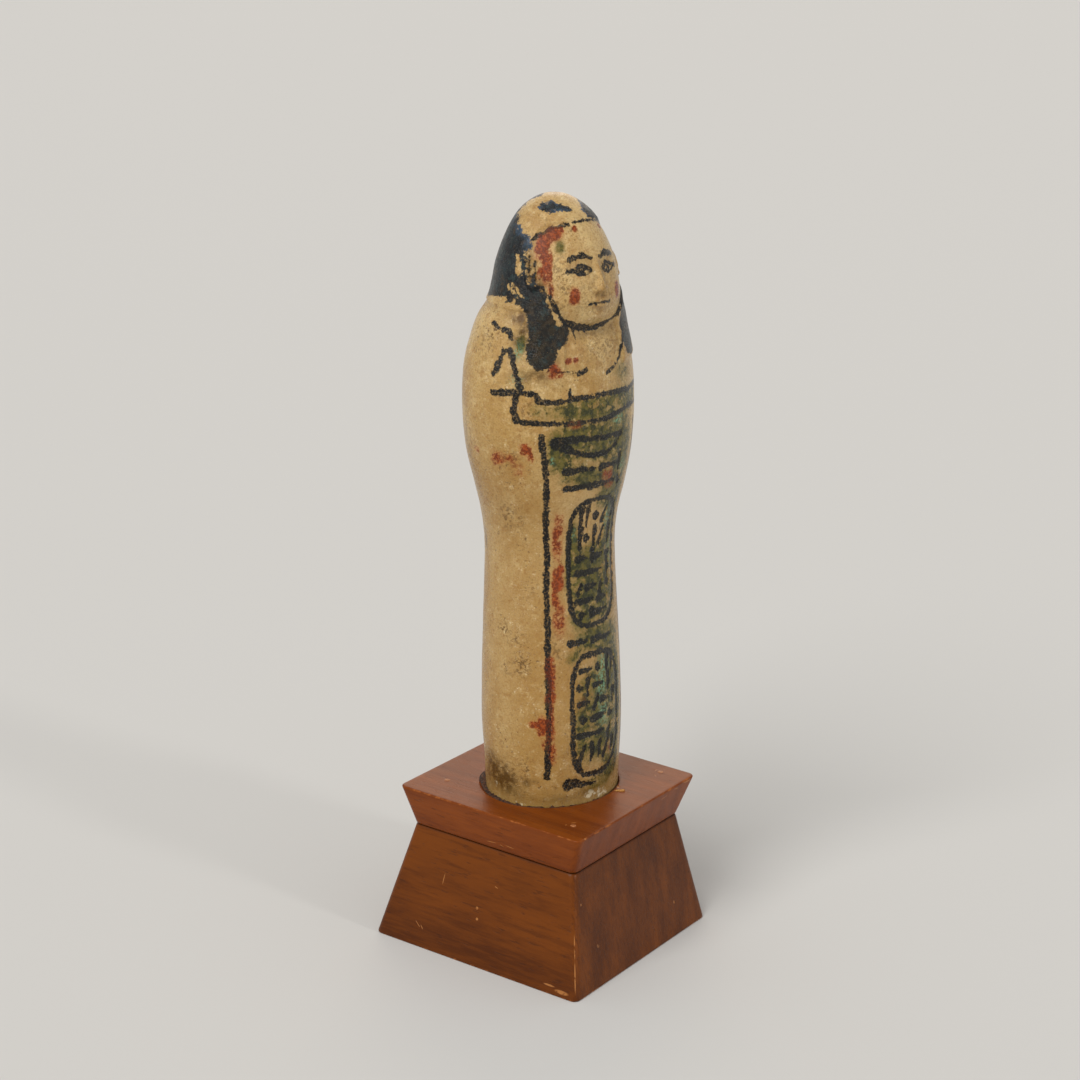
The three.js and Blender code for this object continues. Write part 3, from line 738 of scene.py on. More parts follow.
def alabaster_finish():
    """Honey alabaster under worn mineral paint: blue-black, olive green, red and ink."""
    finish, tree, shader = new_finish("painted_alabaster")
    here = place_on(tree)
    veined = place_on(tree, stretch=(1, 1, 0.45), turn=(0.3, 0.2, 0))
    broad = fade(cloud(veined, 0.03), 0.35, 0.68)
    middling = fade(cloud(veined, 0.008, 5), 0.42, 0.75)
    crystal, relief = crystals(here, 0.00045)
    grain = cloud(here, 0.0006, 3, 0.7)
    stone = blended(broad, shade(172, 135, 74), shade(200, 171, 117))
    stone = tinted(stone, middling, 0.6, shade(158, 116, 56))
    creamy = fade(cloud(place_on(tree, shift=(0.7, 0.4, 0.1)), 0.0035, 6, 0.7), 0.48, 0.68)
    stone = tinted(stone, creamy, 0.55, shade(214, 186, 132))
    honey = fade(cloud(place_on(tree, shift=(0.2, 0.7, 0.9)), 0.0024, 5, 0.7), 0.52, 0.66)
    stone = tinted(stone, honey, 0.5, shade(146, 100, 44))
    hairs = cloud(place_on(tree, stretch=(1, 1, 5), turn=(0.5, 0.9, 0.3)), 0.002, 3)
    stone = tinted(stone, fade(hairs, 0.64, 0.72), 0.4, shade(228, 206, 158))
    stone = tinted(stone, fade(grain, 0.52, 0.36), 0.42, shade(128, 92, 42))
    # Painted shade: the stone is darkened below the shoulders, fully from the middle of the body down.
    shaded = times(fade(stored(tree, "height"), 68, 52), 0.4)
    stone = blended(shaded, stone, shade(148, 110, 56))
    # Painted highlight: a few grains are lightened to near white as glints.
    glint = times(fade(crystal, 0.9, 0.99), creamy)
    stone = tinted(stone, glint, 0.4, shade(244, 230, 194))

    specks = fade(cloud(here, 0.0009, 3, 0.6), 0.62, 0.68)
    clusters = fade(cloud(place_on(tree, shift=(0.3, 0.1, 0.2)), 0.012), 0.42, 0.62)
    pits = times(specks, clusters)
    stone = tinted(stone, pits, 0.7, shade(98, 66, 30))
    crumbs = fade(cloud(place_on(tree, shift=(0.8, 0.3, 0.5)), 0.0012, 4, 0.7), 0.5, 0.57)
    crumbs = times(crumbs, stored(tree, "speckle"))
    stone = tinted(stone, crumbs, 0.85, shade(84, 56, 18))

    breakup = cloud(here, 0.0022, 5, 0.65)
    streaks = cloud(place_on(tree, shift=(0.5, 0.2, 0.7)), 0.005, 4)
    fine = cloud(place_on(tree, shift=(0.1, 0.6, 0.3)), 0.00085, 4, 0.7)
    patchy = cloud(place_on(tree, shift=(0.4, 0.8, 0.6)), 0.0032, 5, 0.65)
    # Brown stain patches, and the darkening where the skin lies lower than its surroundings
    stain = plus(stored(tree, "stain"), times(stored(tree, "hollow"), 0.6))
    stain = times(stain, fade(breakup, 0.24, 0.58))
    stone = tinted(stone, stain, 0.85, shade(86, 58, 14))
    damp = fade(plus(stored(tree, "height"), times(streaks, 7)), 12.0, 7.0)
    stone = tinted(stone, damp, 0.35, shade(132, 108, 58))
    torn = minus(breakup, 0.5)
    chipped = plus(stored(tree, "chip"), times(torn, 2.0))
    chipped = times(fade(chipped, 0.25, 0.45), fade(stored(tree, "chip"), 0.02, 0.15))
    stone = tinted(stone, chipped, 0.85, shade(216, 204, 172))

    ragged = plus(minus(breakup, 0.5), minus(fine, 0.5))
    green = plus(stored(tree, "green"), times(ragged, 0.8))
    green = times(fade(green, 0.05, 0.85), fade(stored(tree, "green"), 0.03, 0.3))
    green = times(green, fade(streaks, 0.1, 0.42))
    thin = times(fade(patchy, 0.47, 0.37), 0.55)
    green = times(green, minus(1.0, thin))
    painted = tinted(stone, green, 0.9, shade(84, 80, 18))
    deep_green = plus(green, times(minus(breakup, 0.5), 3))
    deep_green = times(fade(deep_green, 0.7, 1.3), fade(green, 0.2, 0.8))
    painted = tinted(painted, deep_green, 0.85, shade(30, 38, 14))
    mint = times(stored(tree, "mint"), fade(fine, 0.46, 0.56))
    painted = tinted(painted, mint, 0.8, shade(124, 168, 132))
    faded_red = times(fade(stored(tree, "red"), 0.03, 0.5), fade(breakup, 0.3, 0.6))
    painted = tinted(painted, faded_red, 0.5, shade(182, 108, 52))
    red_mass = plus(stored(tree, "red"), times(ragged, 1.5))
    blots = times(minus(patchy, 0.5), 1.6)
    red_mass = plus(red_mass, blots)
    red_mass = times(fade(red_mass, 0.12, 0.7), fade(stored(tree, "red"), 0.08, 0.4))
    painted = tinted(painted, red_mass, 0.9, shade(148, 58, 2))
    dark_red = times(red_mass, fade(fine, 0.42, 0.56))
    painted = tinted(painted, dark_red, 0.8, shade(88, 30, 2))

    wig_edge = plus(stored(tree, "wig"), times(ragged, 2.6))
    wig = fade(wig_edge, -0.1, 0.25)
    worn = fade(fine, 0.27, 0.36)
    wig = times(wig, plus(times(worn, 0.6), 0.4))
    blue_black = blended(fade(streaks, 0.4, 0.65), shade(4, 7, 12), shade(22, 30, 33))
    low_down = fade(stored(tree, "height"), 88, 83)
    brown_black = blended(fade(breakup, 0.4, 0.62), shade(9, 10, 8), shade(44, 34, 16))
    blue_black = blended(low_down, blue_black, brown_black)
    rubbed = times(fade(fine, 0.54, 0.72), 0.5)
    blue_black = blended(rubbed, blue_black, shade(84, 88, 78))
    blue_black = tinted(blue_black, fade(patchy, 0.53, 0.62), 0.6, shade(36, 54, 54))
    blue_black = tinted(blue_black, fade(patchy, 0.45, 0.36), 0.55, shade(64, 48, 26))
    blue_edge = times(fade(wig_edge, 1.5, 0.2), fade(stored(tree, "height"), 91, 94))
    blue_edge = times(blue_edge, fade(streaks, 0.38, 0.6))
    blue_black = tinted(blue_black, blue_edge, 0.75, shade(56, 82, 106))
    painted = blended(wig, painted, blue_black)

    ink_edge = plus(stored(tree, "ink"), times(ragged, 1.7))
    unsteady = times(minus(patchy, 0.5), 2.0)
    ink = fade(plus(ink_edge, unsteady), -0.1, 0.2)
    dry_brush = fade(cloud(place_on(tree, shift=(0.2, 0.9, 0.4)), 0.0007, 4, 0.7), 0.34, 0.5)
    ink = times(ink, plus(times(dry_brush, 0.4), 0.6))
    rubbed_red = times(red_mass, fade(fine, 0.42, 0.56))
    ink = times(ink, minus(1.0, times(rubbed_red, 0.7)))
    black = blended(fade(streaks, 0.4, 0.65), shade(4, 4, 3), shade(20, 18, 12))
    painted = blended(ink, painted, black)
    plug_in(painted, shader.inputs["Base Color"])

    polish = times(crystal, 0.26)
    polish = plus(polish, times(wig, 0.1))
    plug_in(plus(polish, 0.2), shader.inputs["Roughness"])
    heights = plus(times(grain, 0.5), times(breakup, 0.6))
    heights = plus(heights, times(relief, 0.25))
    heights = minus(heights, times(pits, 0.7))
    heights = plus(heights, times(ink, 0.25))
    rough_surface(heights, 0.2 * MILLIMETRE, shader.inputs["Normal"])
    rough_surface(plus(relief, breakup), 0.22 * MILLIMETRE, shader.inputs["Coat Normal"])
    shader.inputs["Coat Weight"].default_value = 0.38
    shader.inputs["Coat Roughness"].default_value = 0.1
    shader.inputs["Specular IOR Level"].default_value = 0.14
    shader.inputs["Subsurface Weight"].default_value = 0.1
    shader.inputs["Subsurface Radius"].default_value = (1.0, 0.62, 0.3)
    shader.inputs["Subsurface Scale"].default_value = 0.0015
    return finish


figurine.data.materials.append(alabaster_finish())
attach(figurine, "root")
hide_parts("figurine")


# The block: a reddish-brown hardwood foot, wide at the ground and narrow under the cap, with the
# grain running front to back. It was sawn to a taper, sanded, stained and varnished.
block_low, block_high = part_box("stand_block")
cap_low, cap_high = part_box("stand_cap")
BLOCK_TOP_WIDTH = 64.6 * MILLIMETRE
BLOCK_FOOT_WIDTH = 82.2 * MILLIMETRE
CAP_TOP_WIDTH = 72.6 * MILLIMETRE
WOOD_CORNER = 2.3 * MILLIMETRE
WOOD_EDGE = 0.6 * MILLIMETRE
SIDE_STEPS, CORNER_STEPS, EDGE_STEPS, BLOCK_STEPS, CAP_STEPS = 56, 5, 3, 34, 14
block_shape = (BLOCK_FOOT_WIDTH, BLOCK_TOP_WIDTH, block_low[2], block_high[2])
cap_shape = (BLOCK_TOP_WIDTH, CAP_TOP_WIDTH, cap_low[2], cap_high[2])


def square_ring(width, height):
    """A square outline with rounded corners, and close steps along its sides."""
    points = []
    flat = width / 2 - WOOD_CORNER
    for corner in range(4):
        start = corner * math.pi / 2
        centre = Matrix.Rotation(start, 2) @ Vector((flat, flat))
        for step in range(CORNER_STEPS):
            turn = start + math.pi / 2 * step / CORNER_STEPS
            points.append((
                centre.x + WOOD_CORNER * math.cos(turn),
                centre.y + WOOD_CORNER * math.sin(turn),
                height,
            ))
        for step in range(SIDE_STEPS):
            along = flat * (1 - 2 * step / SIDE_STEPS)
            point = Matrix.Rotation(start, 2) @ Vector((along, width / 2))
            points.append((point.x, point.y, height))
    return np.array(points)


def width_at(z, shape):
    """The width at a height of a tapered board, given by its widths and heights, low and high."""
    low_width, high_width, low_z, high_z = shape
    share = (z - low_z) / (high_z - low_z)
    return low_width + (high_width - low_width) * share


def tapered_rings(shape, steps):
    """Rings up a tapered board, with both edges rounded over."""
    low_z, high_z = shape[2:]
    heights, insets = [], []
    for step in range(EDGE_STEPS):
        turn = math.pi / 2 * step / EDGE_STEPS
        heights.append(low_z + WOOD_EDGE * (1 - math.cos(turn)))
        insets.append(WOOD_EDGE * (1 - math.sin(turn)))
    for step in range(steps + 1):
        heights.append(low_z + WOOD_EDGE + (high_z - low_z - 2 * WOOD_EDGE) * step / steps)
        insets.append(0)
    for step in range(1, EDGE_STEPS + 1):
        turn = math.pi / 2 * step / EDGE_STEPS
        heights.append(high_z - WOOD_EDGE * (1 - math.sin(turn)))
        insets.append(WOOD_EDGE * (1 - math.cos(turn)))
    return [square_ring(width_at(z, shape) - 2 * inset, z) for z, inset in zip(heights, insets)]


def shrunk(ring, share):
    """A ring drawn in towards the middle, at the same height."""
    return ring * np.array((share, share, 1))


WEAR_REACH, JOINT_REACH, SANDED_DEPTH = 3 * MILLIMETRE, 0.5 * MILLIMETRE, 0.12 * MILLIMETRE


def edge_wear(rings, shape, worn_z):
    """1 on the upright corners and one level edge of a tapered board, falling to 0 further in."""
    half = width_at(rings[..., 2], shape) / 2
    from_corner = np.hypot(half - np.abs(rings[..., 0]), half - np.abs(rings[..., 1]))
    off_side = half - np.maximum(np.abs(rings[..., 0]), np.abs(rings[..., 1]))
    from_level = np.hypot(rings[..., 2] - worn_z, np.maximum(off_side, 0))
    return np.clip(1 - np.minimum(from_corner, from_level) / WEAR_REACH, 0, 1)


def joint_shade(rings, joint_z):
    """1 along the joint of cap and block, falling to 0 just off it, where the gap's shadow is painted."""
    return np.clip(1.1 - np.abs(rings[..., 2] - joint_z) / JOINT_REACH, 0, 1)


block_rings = tapered_rings(block_shape, BLOCK_STEPS)
for share in (0.9, 0.7, 0.4):
    block_rings.insert(0, shrunk(block_rings[0], share))
    block_rings.append(shrunk(block_rings[-1], share))
block_rings = np.array(block_rings)
block_wear = edge_wear(block_rings, block_shape, block_low[2])
# Sanding by hand left the sides a little hollow, but not the flat foot
wave = unevenness(block_rings, 20 * MILLIMETRE, 5.0)[..., None]
wave = wave * np.array((1, 1, 0)) * np.sign(block_rings)
block_rings = block_rings - SANDED_DEPTH * np.abs(wave) * (block_rings[..., 2:] > MILLIMETRE)
block = body_mesh("block_wood", block_rings, (0, 0, block_low[2]), (0, 0, block_high[2]))
keep_on_mesh(block, "wear", block_wear)
keep_on_mesh(block, "joint", joint_shade(block_rings, block_high[2]))


def spot(tree, centre, turn, half_sizes):
    """1 in the middle of a small long mark at a place on the piece, 0 outside it."""
    where = tree.nodes.new("ShaderNodeTexCoord")
    step = tree.nodes.new("ShaderNodeMapping")
    step.vector_type = "TEXTURE"
    step.inputs["Location"].default_value = centre
    step.inputs["Rotation"].default_value = turn
    step.inputs["Scale"].default_value = half_sizes
    tree.links.new(where.outputs["Object"], step.inputs["Vector"])
    reach = tree.nodes.new("ShaderNodeVectorMath")
    reach.operation = "LENGTH"
    tree.links.new(step.outputs["Vector"], reach.inputs[0])
    return fade(reach.outputs["Value"], 1.0, 0.55)


def varnished_wood(name, light, dark, marks, seed):
    """Stained wood with front-to-back grain and upright growth rings under a thin, worn varnish."""
    finish, tree, shader = new_finish(name)
    along = place_on(tree, stretch=(1, 0.035, 0.3), turn=(0, 0.12, 0.02), shift=(seed, 0, seed))
    here = place_on(tree, shift=(seed, seed, 0))
    bands = cloud(along, 0.006, 4)
    threads = cloud(along, 0.0009, 5, 0.7)
    pores = cloud(place_on(tree, stretch=(1, 0.1, 0.6)), 0.0006, 2)
    broad = cloud(place_on(tree, stretch=(1, 0.5, 1), shift=(0, seed, 0)), 0.014)
    wood = blended(fade(bands, 0.22, 0.78), dark, light)
    wood = tinted(wood, fade(threads, 0.46, 0.64), 0.55, dark)
    wood = tinted(wood, fade(broad, 0.46, 0.7), 0.4, dark)
    fibres = cloud(along, 0.0004, 3, 0.6)
    wood = tinted(wood, fade(fibres, 0.4, 0.62), 0.3, light)
    wood = tinted(wood, fade(pores, 0.62, 0.72), 0.35, shade(44, 22, 10))

    ragged = cloud(here, 0.003, 5, 0.7)
    worn = plus(stored(tree, "wear"), times(ragged, 0.9))
    worn = fade(worn, 1.3, 1.5)
    wood = tinted(wood, worn, 0.7, shade(176, 104, 48))
    nicks_and_corner_highlight = None
    for centre, turn, half_sizes in marks:
        mark = spot(tree, centre, turn, half_sizes)
        nicks_and_corner_highlight = mark if nicks_and_corner_highlight is None else larger(nicks_and_corner_highlight, mark)
    scuffs = fade(cloud(place_on(tree, stretch=(1, 1, 6)), 0.0016, 3), 0.72, 0.76)
    thin = times(scuffs, fade(cloud(here, 0.012), 0.56, 0.66))
    nicks_and_corner_highlight = larger(nicks_and_corner_highlight, times(thin, 0.5))
    nicks_and_corner_highlight = times(nicks_and_corner_highlight, fade(ragged, 0.36, 0.5))
    # Lighter where the varnish is nicked and scuffed; the block's marks also paint a highlight down its
    # near corner
    wood = tinted(wood, nicks_and_corner_highlight, 0.7, shade(184, 122, 66))
    # Painted shadow: a dark line along the joint of cap and block, standing in for the gap between them
    wood = tinted(wood, stored(tree, "joint"), 0.7, shade(30, 14, 8))
    plug_in(wood, shader.inputs["Base Color"])

    dull = plus(times(worn, 0.15), times(ragged, 0.16))
    plug_in(plus(dull, 0.3), shader.inputs["Roughness"])
    heights = plus(times(threads, 0.5), times(ragged, 0.35))
    heights = minus(heights, times(fade(pores, 0.62, 0.7), 0.5))
    heights = minus(heights, times(nicks_and_corner_highlight, 0.8))
    rough_surface(heights, 0.1 * MILLIMETRE, shader.inputs["Normal"])
    shader.inputs["Specular IOR Level"].default_value = 0.14
    shader.inputs["Coat Weight"].default_value = 0.06
    shader.inputs["Coat Roughness"].default_value = 0.2
    return finish


def on_left_face(y, z, shape):
    """A place on a board's left side, in metres from millimetres."""
    return (-width_at(z * MILLIMETRE, shape) / 2, y * MILLIMETRE, z * MILLIMETRE)


def on_front_face(x, z, shape):
    """A place on a board's front, in metres from millimetres."""
    return (x * MILLIMETRE, -width_at(z * MILLIMETRE, shape) / 2, z * MILLIMETRE)


def on_near_corner(z):
    """A place on the block's front left corner at a height in millimetres."""
    rounded_off = WOOD_CORNER * (1 - math.sqrt(0.5))
    corner = rounded_off - width_at(z * MILLIMETRE, block_shape) / 2
    return (corner, corner, z * MILLIMETRE)


# Scratches and nicks of the varnish, and a painted highlight down the block's near corner: middle, turn
# and half sizes along the piece's axes
NICK = (0.0006, 0.0006, 0.0006)
block_marks = [
    (on_left_face(17, 25, block_shape), (0.1, 0, 0), (0.002, 0.0002, 0.0024)),
    (on_left_face(2.2, 19.3, block_shape), (0, 0, 0), NICK),
    (on_left_face(1.5, 15.8, block_shape), (0, 0, 0), NICK),
    (on_left_face(24.4, 7.6, block_shape), (-0.9, 0, 0), (0.002, 0.0002, 0.0016)),
    (on_left_face(22.6, 7.0, block_shape), (-0.7, 0, 0), (0.002, 0.0002, 0.001)),
    (on_left_face(-30, 3, block_shape), (0, 0, 0), (0.002, 0.0026, 0.0004)),
    (on_left_face(-35, 2, block_shape), (0, 0, 0), (0.002, 0.0032, 0.0008)),
    (on_left_face(-4, 28, block_shape), (0.3, 0, 0), (0.002, 0.0008, 0.0002)),
    # A painted highlight down the near upright corner, where the varnish is also worn pale
    (on_near_corner(8), (-0.22, 0.22, 0), (0.0003, 0.0003, 0.0065)),
    (on_near_corner(17), (-0.22, 0.22, 0), (0.00025, 0.00025, 0.005)),
    (on_front_face(-24.6, 13.4, block_shape), (0, 0, 0), (0.0009, 0.0009, 0.0007)),
    (on_front_face(-30.8, 29.5, block_shape), (0, 0, 0), (0.0004, 0.0004, 0.0005)),
    (on_front_face(22.8, 11.5, block_shape), (0, 0, 0), (0.0004, 0.0005, 0.0007)),
]
block_light, block_dark = shade(114, 58, 8), shade(72, 32, 4)
block.data.materials.append(varnished_wood("block_varnish", block_light, block_dark, block_marks, 0.0))
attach(block, "root")
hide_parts("stand_block")


# The cap: a board of the same wood that flares upwards, nailed down on the block. An oval socket
# was cut in its top for the figurine's foot, and its upper edges are worn pale.
SOCKET_DEPTH, RIM_EASE = 8 * MILLIMETRE, 0.3 * MILLIMETRE
TOP_STEPS, WALL_STEPS = 24, 5
foot_wide, foot_deep, foot_forward = (float(v) * PART for v in section_at(np.array(0.0)))
cap_rings = tapered_rings(cap_shape, CAP_STEPS)
rim_square = cap_rings[-1]


def socket_ring(z, let_out):
    """The socket's oval outline at a height, point for point with the square outline."""
    turns = np.arctan2(rim_square[:, 1], rim_square[:, 0]) - FIGURINE_TURN
    across = (foot_wide + SOCKET_PLAY + let_out) * np.cos(turns)
    along = (foot_deep + SOCKET_PLAY + let_out) * np.sin(turns) - foot_forward
    x, y = turned_with_figurine(across, along)
    return np.stack([x, y, np.full_like(x, z)], axis=-1)


socket_rim = socket_ring(cap_high[2], RIM_EASE)
for step in range(1, TOP_STEPS):
    share = step / TOP_STEPS
    cap_rings.append(rim_square * (1 - share) + socket_rim * share)
cap_rings.append(socket_rim)
cap_rings.append(socket_ring(cap_high[2] - RIM_EASE, 0))
for step in range(1, WALL_STEPS + 1):
    cap_rings.append(socket_ring(cap_high[2] - SOCKET_DEPTH * step / WALL_STEPS, 0))
for share in (0.7, 0.4):
    cap_rings.append(shrunk(cap_rings[-1], share))
for share in (0.9, 0.7, 0.4):
    cap_rings.insert(0, shrunk(cap_rings[0], share))
cap_rings = np.array(cap_rings)
cap_wear = edge_wear(cap_rings, cap_shape, cap_high[2])
socket_floor = (0, 0, cap_high[2] - SOCKET_DEPTH)
cap = body_mesh("cap_wood", cap_rings, (0, 0, cap_low[2]), socket_floor)
keep_on_mesh(cap, "wear", cap_wear)
keep_on_mesh(cap, "joint", joint_shade(cap_rings, cap_low[2]))

cap_marks = [
    (on_left_face(0, 42.6, cap_shape), (-0.1, 0, 0), (0.002, 0.0024, 0.0002)),
    (on_left_face(-7.3, 42.9, cap_shape), (0.12, 0, 0), (0.002, 0.0022, 0.0002)),
    (on_left_face(-4, 42.4, cap_shape), (0.3, 0, 0), (0.002, 0.001, 0.00015)),
    (on_front_face(31, 53.0, cap_shape), (0, 0.1, 0), (0.003, 0.002, 0.0004)),
    (on_front_face(24, 52.6, cap_shape), (0, 0.2, 0), (0.002, 0.002, 0.0003)),
    (on_front_face(17, 51.6, cap_shape), (0, -0.1, 0), (0.0025, 0.002, 0.0002)),
    ((-0.0325, -0.0361, cap_high[2]), (0, 0, 0), NICK),
    ((0.0262, -0.0262, cap_high[2]), (0, 0, 0.9), (0.0012, 0.0002, 0.002)),
    ((0.0305, -0.0238, cap_high[2]), (0, 0, 0.2), (0.0014, 0.0002, 0.002)),
    ((-0.0245, -0.0262, cap_high[2]), (0, 0, -0.6), (0.0012, 0.0003, 0.002)),
    ((-0.0275, -0.0252, cap_high[2]), (0, 0, 0.5), (0.0009, 0.0002, 0.002)),
    ((0.0098, -0.0214, cap_high[2]), (0, 0, 1.0), (0.0016, 0.0008, 0.002)),
]
cap_light, cap_dark = shade(134, 66, 12), shade(100, 44, 8)
cap.data.materials.append(varnished_wood("cap_varnish", cap_light, cap_dark, cap_marks, 0.37))
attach(cap, "root")
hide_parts("stand_cap")


# The nail plugs: small rounds of pale wood filler, pressed over the sunk nails that hold the cap to
# the block and rubbed nearly level.
PLUG_STEPS, PLUG_LIP, PLUG_DOME, PLUG_RAGGED = 28, 0.08 * MILLIMETRE, 0.04 * MILLIMETRE, 0.05


def filler_finish():
    """Pale reddish filler, matt and a little crumbly."""
    finish, tree, shader = new_finish("nail_filler")
    here = place_on(tree)
    mottle = fade(cloud(here, 0.0006, 4), 0.4, 0.65)
    mottled = blended(mottle, shade(150, 88, 48), shade(190, 128, 78))
    plug_in(mottled, shader.inputs["Base Color"])
    rough_surface(cloud(here, 0.0004, 3), 0.1 * MILLIMETRE, shader.inputs["Normal"])
    shader.inputs["Roughness"].default_value = 0.5
    return finish


plug_filler = filler_finish()
for plug_name in ("front_left", "front_right", "back_left", "back_right"):
    low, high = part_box("nail_plug_" + plug_name)
    x, y = (low[0] + high[0]) / 2, (low[1] + high[1]) / 2
    turns = np.linspace(0, 2 * math.pi, PLUG_STEPS, endpoint=False)
    ragged = (high[0] - low[0]) / 2 * (1 + PLUG_RAGGED * np.sin(3 * turns + x * 900))
    plug_rings = []
    for reach, z in (
        (0.6, low[2]),
        (1, low[2]),
        (1, high[2]),
        (0.92, high[2] + PLUG_LIP),
        (0.5, high[2] + PLUG_DOME),
    ):
        r = ragged * reach
        plug_rings.append(np.stack([x + r * np.cos(turns), y + r * np.sin(turns), 0 * turns + z], -1))
    plug = body_mesh("plug_" + plug_name, np.array(plug_rings), (x, y, low[2]), (x, y, high[2]))
    plug.data.materials.append(plug_filler)
    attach(plug, "root")
    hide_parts("nail_plug_" + plug_name)


# The dirt in the socket: old wax and dust packed between the foot and the wood. It is crumbly and
# stands highest at the figurine's back left, where the gap is widest; a splinter lies at the right.
DIRT_STEPS, DIRT_DEPTH, DIRT_UP = 160, 6 * MILLIMETRE, 3.6
HEAP_HEADING, HEAP_SPREAD = 124, 16
DIRT_LEVEL_MM, WIDE_GAP_MM, HEAP_MM, LUMPS_MM, SPILL_MM = -0.35, 0.9, 1.6, 0.9, 1.5


def socket_dirt():
    """A closed band of crumbly wax in the gap round the foot, heaped up and spilt over at one place."""
    turns = np.linspace(0, 2 * math.pi, DIRT_STEPS, endpoint=False)
    wide_here, deep_here, forward_here = (float(v) * PART for v in section_at(np.array(DIRT_UP)))
    slide = np.array((math.cos(FOOT_SLIDE_HEADING), math.sin(FOOT_SLIDE_HEADING))) * FOOT_SLIDE

    def oval(half_wide, half_deep, back_shift, shift):
        x, y = turned_with_figurine(half_wide * np.cos(turns), half_deep * np.sin(turns) - back_shift)
        return np.stack([x + shift[0], y + shift[1]], axis=-1)

    wall = oval(foot_wide + SOCKET_PLAY, foot_deep + SOCKET_PLAY, foot_forward, (0, 0))
    foot = oval(wide_here, deep_here, forward_here, slide)
    outward = wall / np.linalg.norm(wall, axis=-1, keepdims=True)
    widest = np.clip(-(outward @ slide) / FOOT_SLIDE, 0, 1)
    spots = np.concatenate([wall, np.zeros((len(turns), 1))], axis=-1)
    lumps = unevenness(spots, 0.0014, 4.0) + 0.6 * unevenness(spots, 0.0006, 8.0)
    heading = np.degrees(np.arctan2(outward[:, 1], outward[:, 0]))
    heap = np.exp(-((wrapped(heading - HEAP_HEADING) / HEAP_SPREAD) ** 2))
    rise = DIRT_LEVEL_MM + WIDE_GAP_MM * widest**2 + HEAP_MM * heap + LUMPS_MM * lumps
    top = cap_high[2] + rise * MILLIMETRE
    spill = (SPILL_MM * heap * (1 + 0.6 * lumps) * MILLIMETRE)[:, None] * outward
    spill_top = top * (1 - heap) + (cap_high[2] - 0.1 * MILLIMETRE) * heap
    bottom = np.full(len(turns), cap_high[2] - DIRT_DEPTH)
    outlines = [
        (wall, bottom),
        (wall + spill, spill_top),
        (wall + 0.7 * spill, top - 0.5 * (top - spill_top)),
    ]
    for share in (0.2, 0.45, 0.7, 1.0):
        between = wall * (1 - share) + foot * share
        outlines.append((between, top + 0.15 * share * MILLIMETRE * (1 + lumps)))
    outlines.append((foot, bottom))
    rings = np.array([np.concatenate([outline, level[:, None]], axis=-1) for outline, level in outlines])
    index = np.arange(rings.shape[0] * rings.shape[1]).reshape(rings.shape[:2])
    beside, inward = np.roll(index, -1, axis=1), np.roll(index, -1, axis=0)
    quads = np.stack([index, beside, np.roll(inward, -1, axis=1), inward], axis=-1).reshape(-1, 4)
    mesh = bpy.data.meshes.new("socket_dirt")
    mesh.from_pydata(rings.reshape(-1, 3).tolist(), [], quads.tolist())
    mesh.shade_smooth()
    dirt = bpy.data.objects.new("socket_dirt", mesh)
    bpy.context.scene.collection.objects.link(dirt)
    return dirt


def crumbly_finish(name, pale, dark):
    """A matt, crumbly filling of two tones."""
    finish, tree, shader = new_finish(name)
    here = place_on(tree)
    mottle = fade(cloud(here, 0.0009, 4, 0.7), 0.4, 0.62)
    plug_in(blended(mottle, dark, pale), shader.inputs["Base Color"])
    rough_surface(cloud(here, 0.0005, 4), 0.4 * MILLIMETRE, shader.inputs["Normal"])
    shader.inputs["Roughness"].default_value = 0.75
    return finish


SPLINTER_PLACE_MM, SPLINTER_TURN = (7.2, -23.8), -1.0


def splinter():
    """A sliver of bare pale wood, lifted at one end."""
    outline = [(-2.0, 0), (-0.8, 0.6), (1.0, 0.7), (1.8, 0.2), (1.0, -0.4), (-0.7, -0.5)]
    turn = Matrix.Rotation(SPLINTER_TURN, 2)
    low, high = [], []
    for x, y in outline:
        flat = (turn @ Vector((x, y)) + Vector(SPLINTER_PLACE_MM)) * MILLIMETRE
        low.append((flat.x, flat.y, cap_high[2] - 0.05 * MILLIMETRE))
        high.append((flat.x, flat.y, cap_high[2] + max(0.35 + 0.12 * x, 0.08) * MILLIMETRE))
    count = len(outline)
    faces = [tuple(reversed(range(count))), tuple(range(count, 2 * count))]
    faces += [(i, (i + 1) % count, count + (i + 1) % count, count + i) for i in range(count)]
    mesh = bpy.data.meshes.new("socket_splinter")
    mesh.from_pydata(low + high, [], faces)
    sliver = bpy.data.objects.new("socket_splinter", mesh)
    bpy.context.scene.collection.objects.link(sliver)
    soften = sliver.modifiers.new("worn", "BEVEL")
    soften.width = 0.1 * MILLIMETRE
    soften.segments = 2
    return sliver


dirt = socket_dirt()
dirt.data.materials.append(crumbly_finish("socket_wax", shade(92, 54, 26), shade(30, 16, 8)))
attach(dirt, "root")
sliver = splinter()
sliver.data.materials.append(crumbly_finish("bare_wood", shade(206, 158, 84), shade(170, 108, 44)))
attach(sliver, "root")


# The studio: a wide pale floor under a soft light from the camera's left, a weaker one from the
# figurine's front, a warm one from behind that gives the varnish its sheen, and an even sky.
FLOOR_REACH = 60


def studio_floor():
    """A level floor, wide enough that its edge is far behind the part, in a plain matt finish."""
    finish, _, shader = new_finish("pale_floor")
    shader.inputs["Base Color"].default_value = shade(206, 205, 202)
    shader.inputs["Roughness"].default_value = 0.9
    shader.inputs["Specular IOR Level"].default_value = 0.1
    mesh = bpy.data.meshes.new("floor")
    corners = [(x * FLOOR_REACH, y * FLOOR_REACH, 0) for x, y in ((-1, -1), (1, -1), (1, 1), (-1, 1))]
    mesh.from_pydata(corners, [], [(0, 1, 2, 3)])
    floor = bpy.data.objects.new("floor", mesh)
    bpy.context.scene.collection.objects.link(floor)
    floor.data.materials.append(finish)


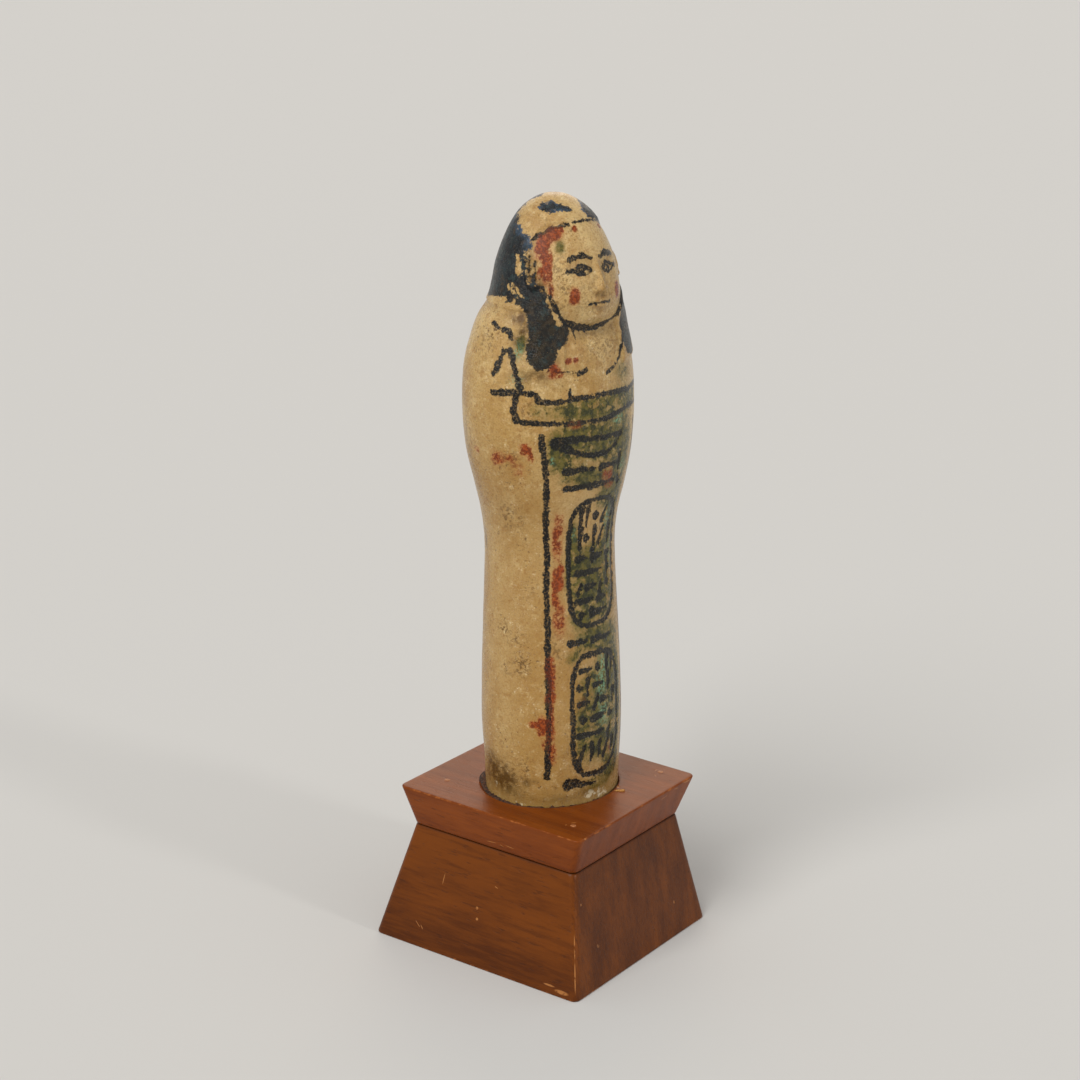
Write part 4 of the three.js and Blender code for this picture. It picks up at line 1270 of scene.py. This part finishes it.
def soft_sun(name, heading, height, strength, softness, colour):
    """A far, broad light from a heading and a height above the horizon, all in degrees."""
    turn, rise = math.radians(heading), math.radians(height)
    towards = Vector((math.sin(turn) * math.cos(rise), -math.cos(turn) * math.cos(rise), math.sin(rise)))
    light = bpy.data.lights.new(name, "SUN")
    light.energy = strength
    light.angle = math.radians(softness)
    light.color = colour
    holder = bpy.data.objects.new(name, light)
    holder.rotation_euler = towards.to_track_quat("Z", "Y").to_euler()
    bpy.context.scene.collection.objects.link(holder)


studio_floor()
soft_sun("key", -92, 42, 2.0, 30, (1, 0.98, 0.95))
soft_sun("front", 0, 18, 0.62, 8, (1, 0.98, 0.95))
soft_sun("back", 123, 20, 0.55, 40, (1, 0.8, 0.6))
world = bpy.data.worlds.new("studio")
bpy.context.scene.world = world
world.use_nodes = True
world.node_tree.nodes["Background"].inputs["Color"].default_value = (1, 1, 1, 1)
world.node_tree.nodes["Background"].inputs["Strength"].default_value = 0.5
bpy.context.scene.view_settings.view_transform = "Standard"

# The camera stands at the photograph's angle, a little rolled, as the stand's edges show
CAMERA_HEADING, CAMERA_RISE, CAMERA_ROLL = math.radians(-56.5), math.radians(17.66), math.radians(-2.52)
CAMERA_DISTANCE, AIM_LEFT, AIM_UP = 0.8638, 0.00665, 0.1324
SENSOR_WIDTH, FOCAL_LENGTH = 36, 83.33
right = Vector((math.cos(CAMERA_HEADING), math.sin(CAMERA_HEADING), 0))
back = Vector((
    math.sin(CAMERA_HEADING) * math.cos(CAMERA_RISE),
    -math.cos(CAMERA_HEADING) * math.cos(CAMERA_RISE),
    math.sin(CAMERA_RISE),
))
upward = back.cross(right)
lens = bpy.data.cameras.new("camera")
lens.sensor_width = SENSOR_WIDTH
lens.lens = FOCAL_LENGTH
camera = bpy.data.objects.new("camera", lens)
bpy.context.scene.collection.objects.link(camera)
rolled_right = right * math.cos(CAMERA_ROLL) - upward * math.sin(CAMERA_ROLL)
rolled_up = right * math.sin(CAMERA_ROLL) + upward * math.cos(CAMERA_ROLL)
camera.matrix_world = Matrix((rolled_right, rolled_up, back)).transposed().to_4x4()
camera.location = back * CAMERA_DISTANCE - right * AIM_LEFT + upward * AIM_UP
bpy.context.scene.camera = camera
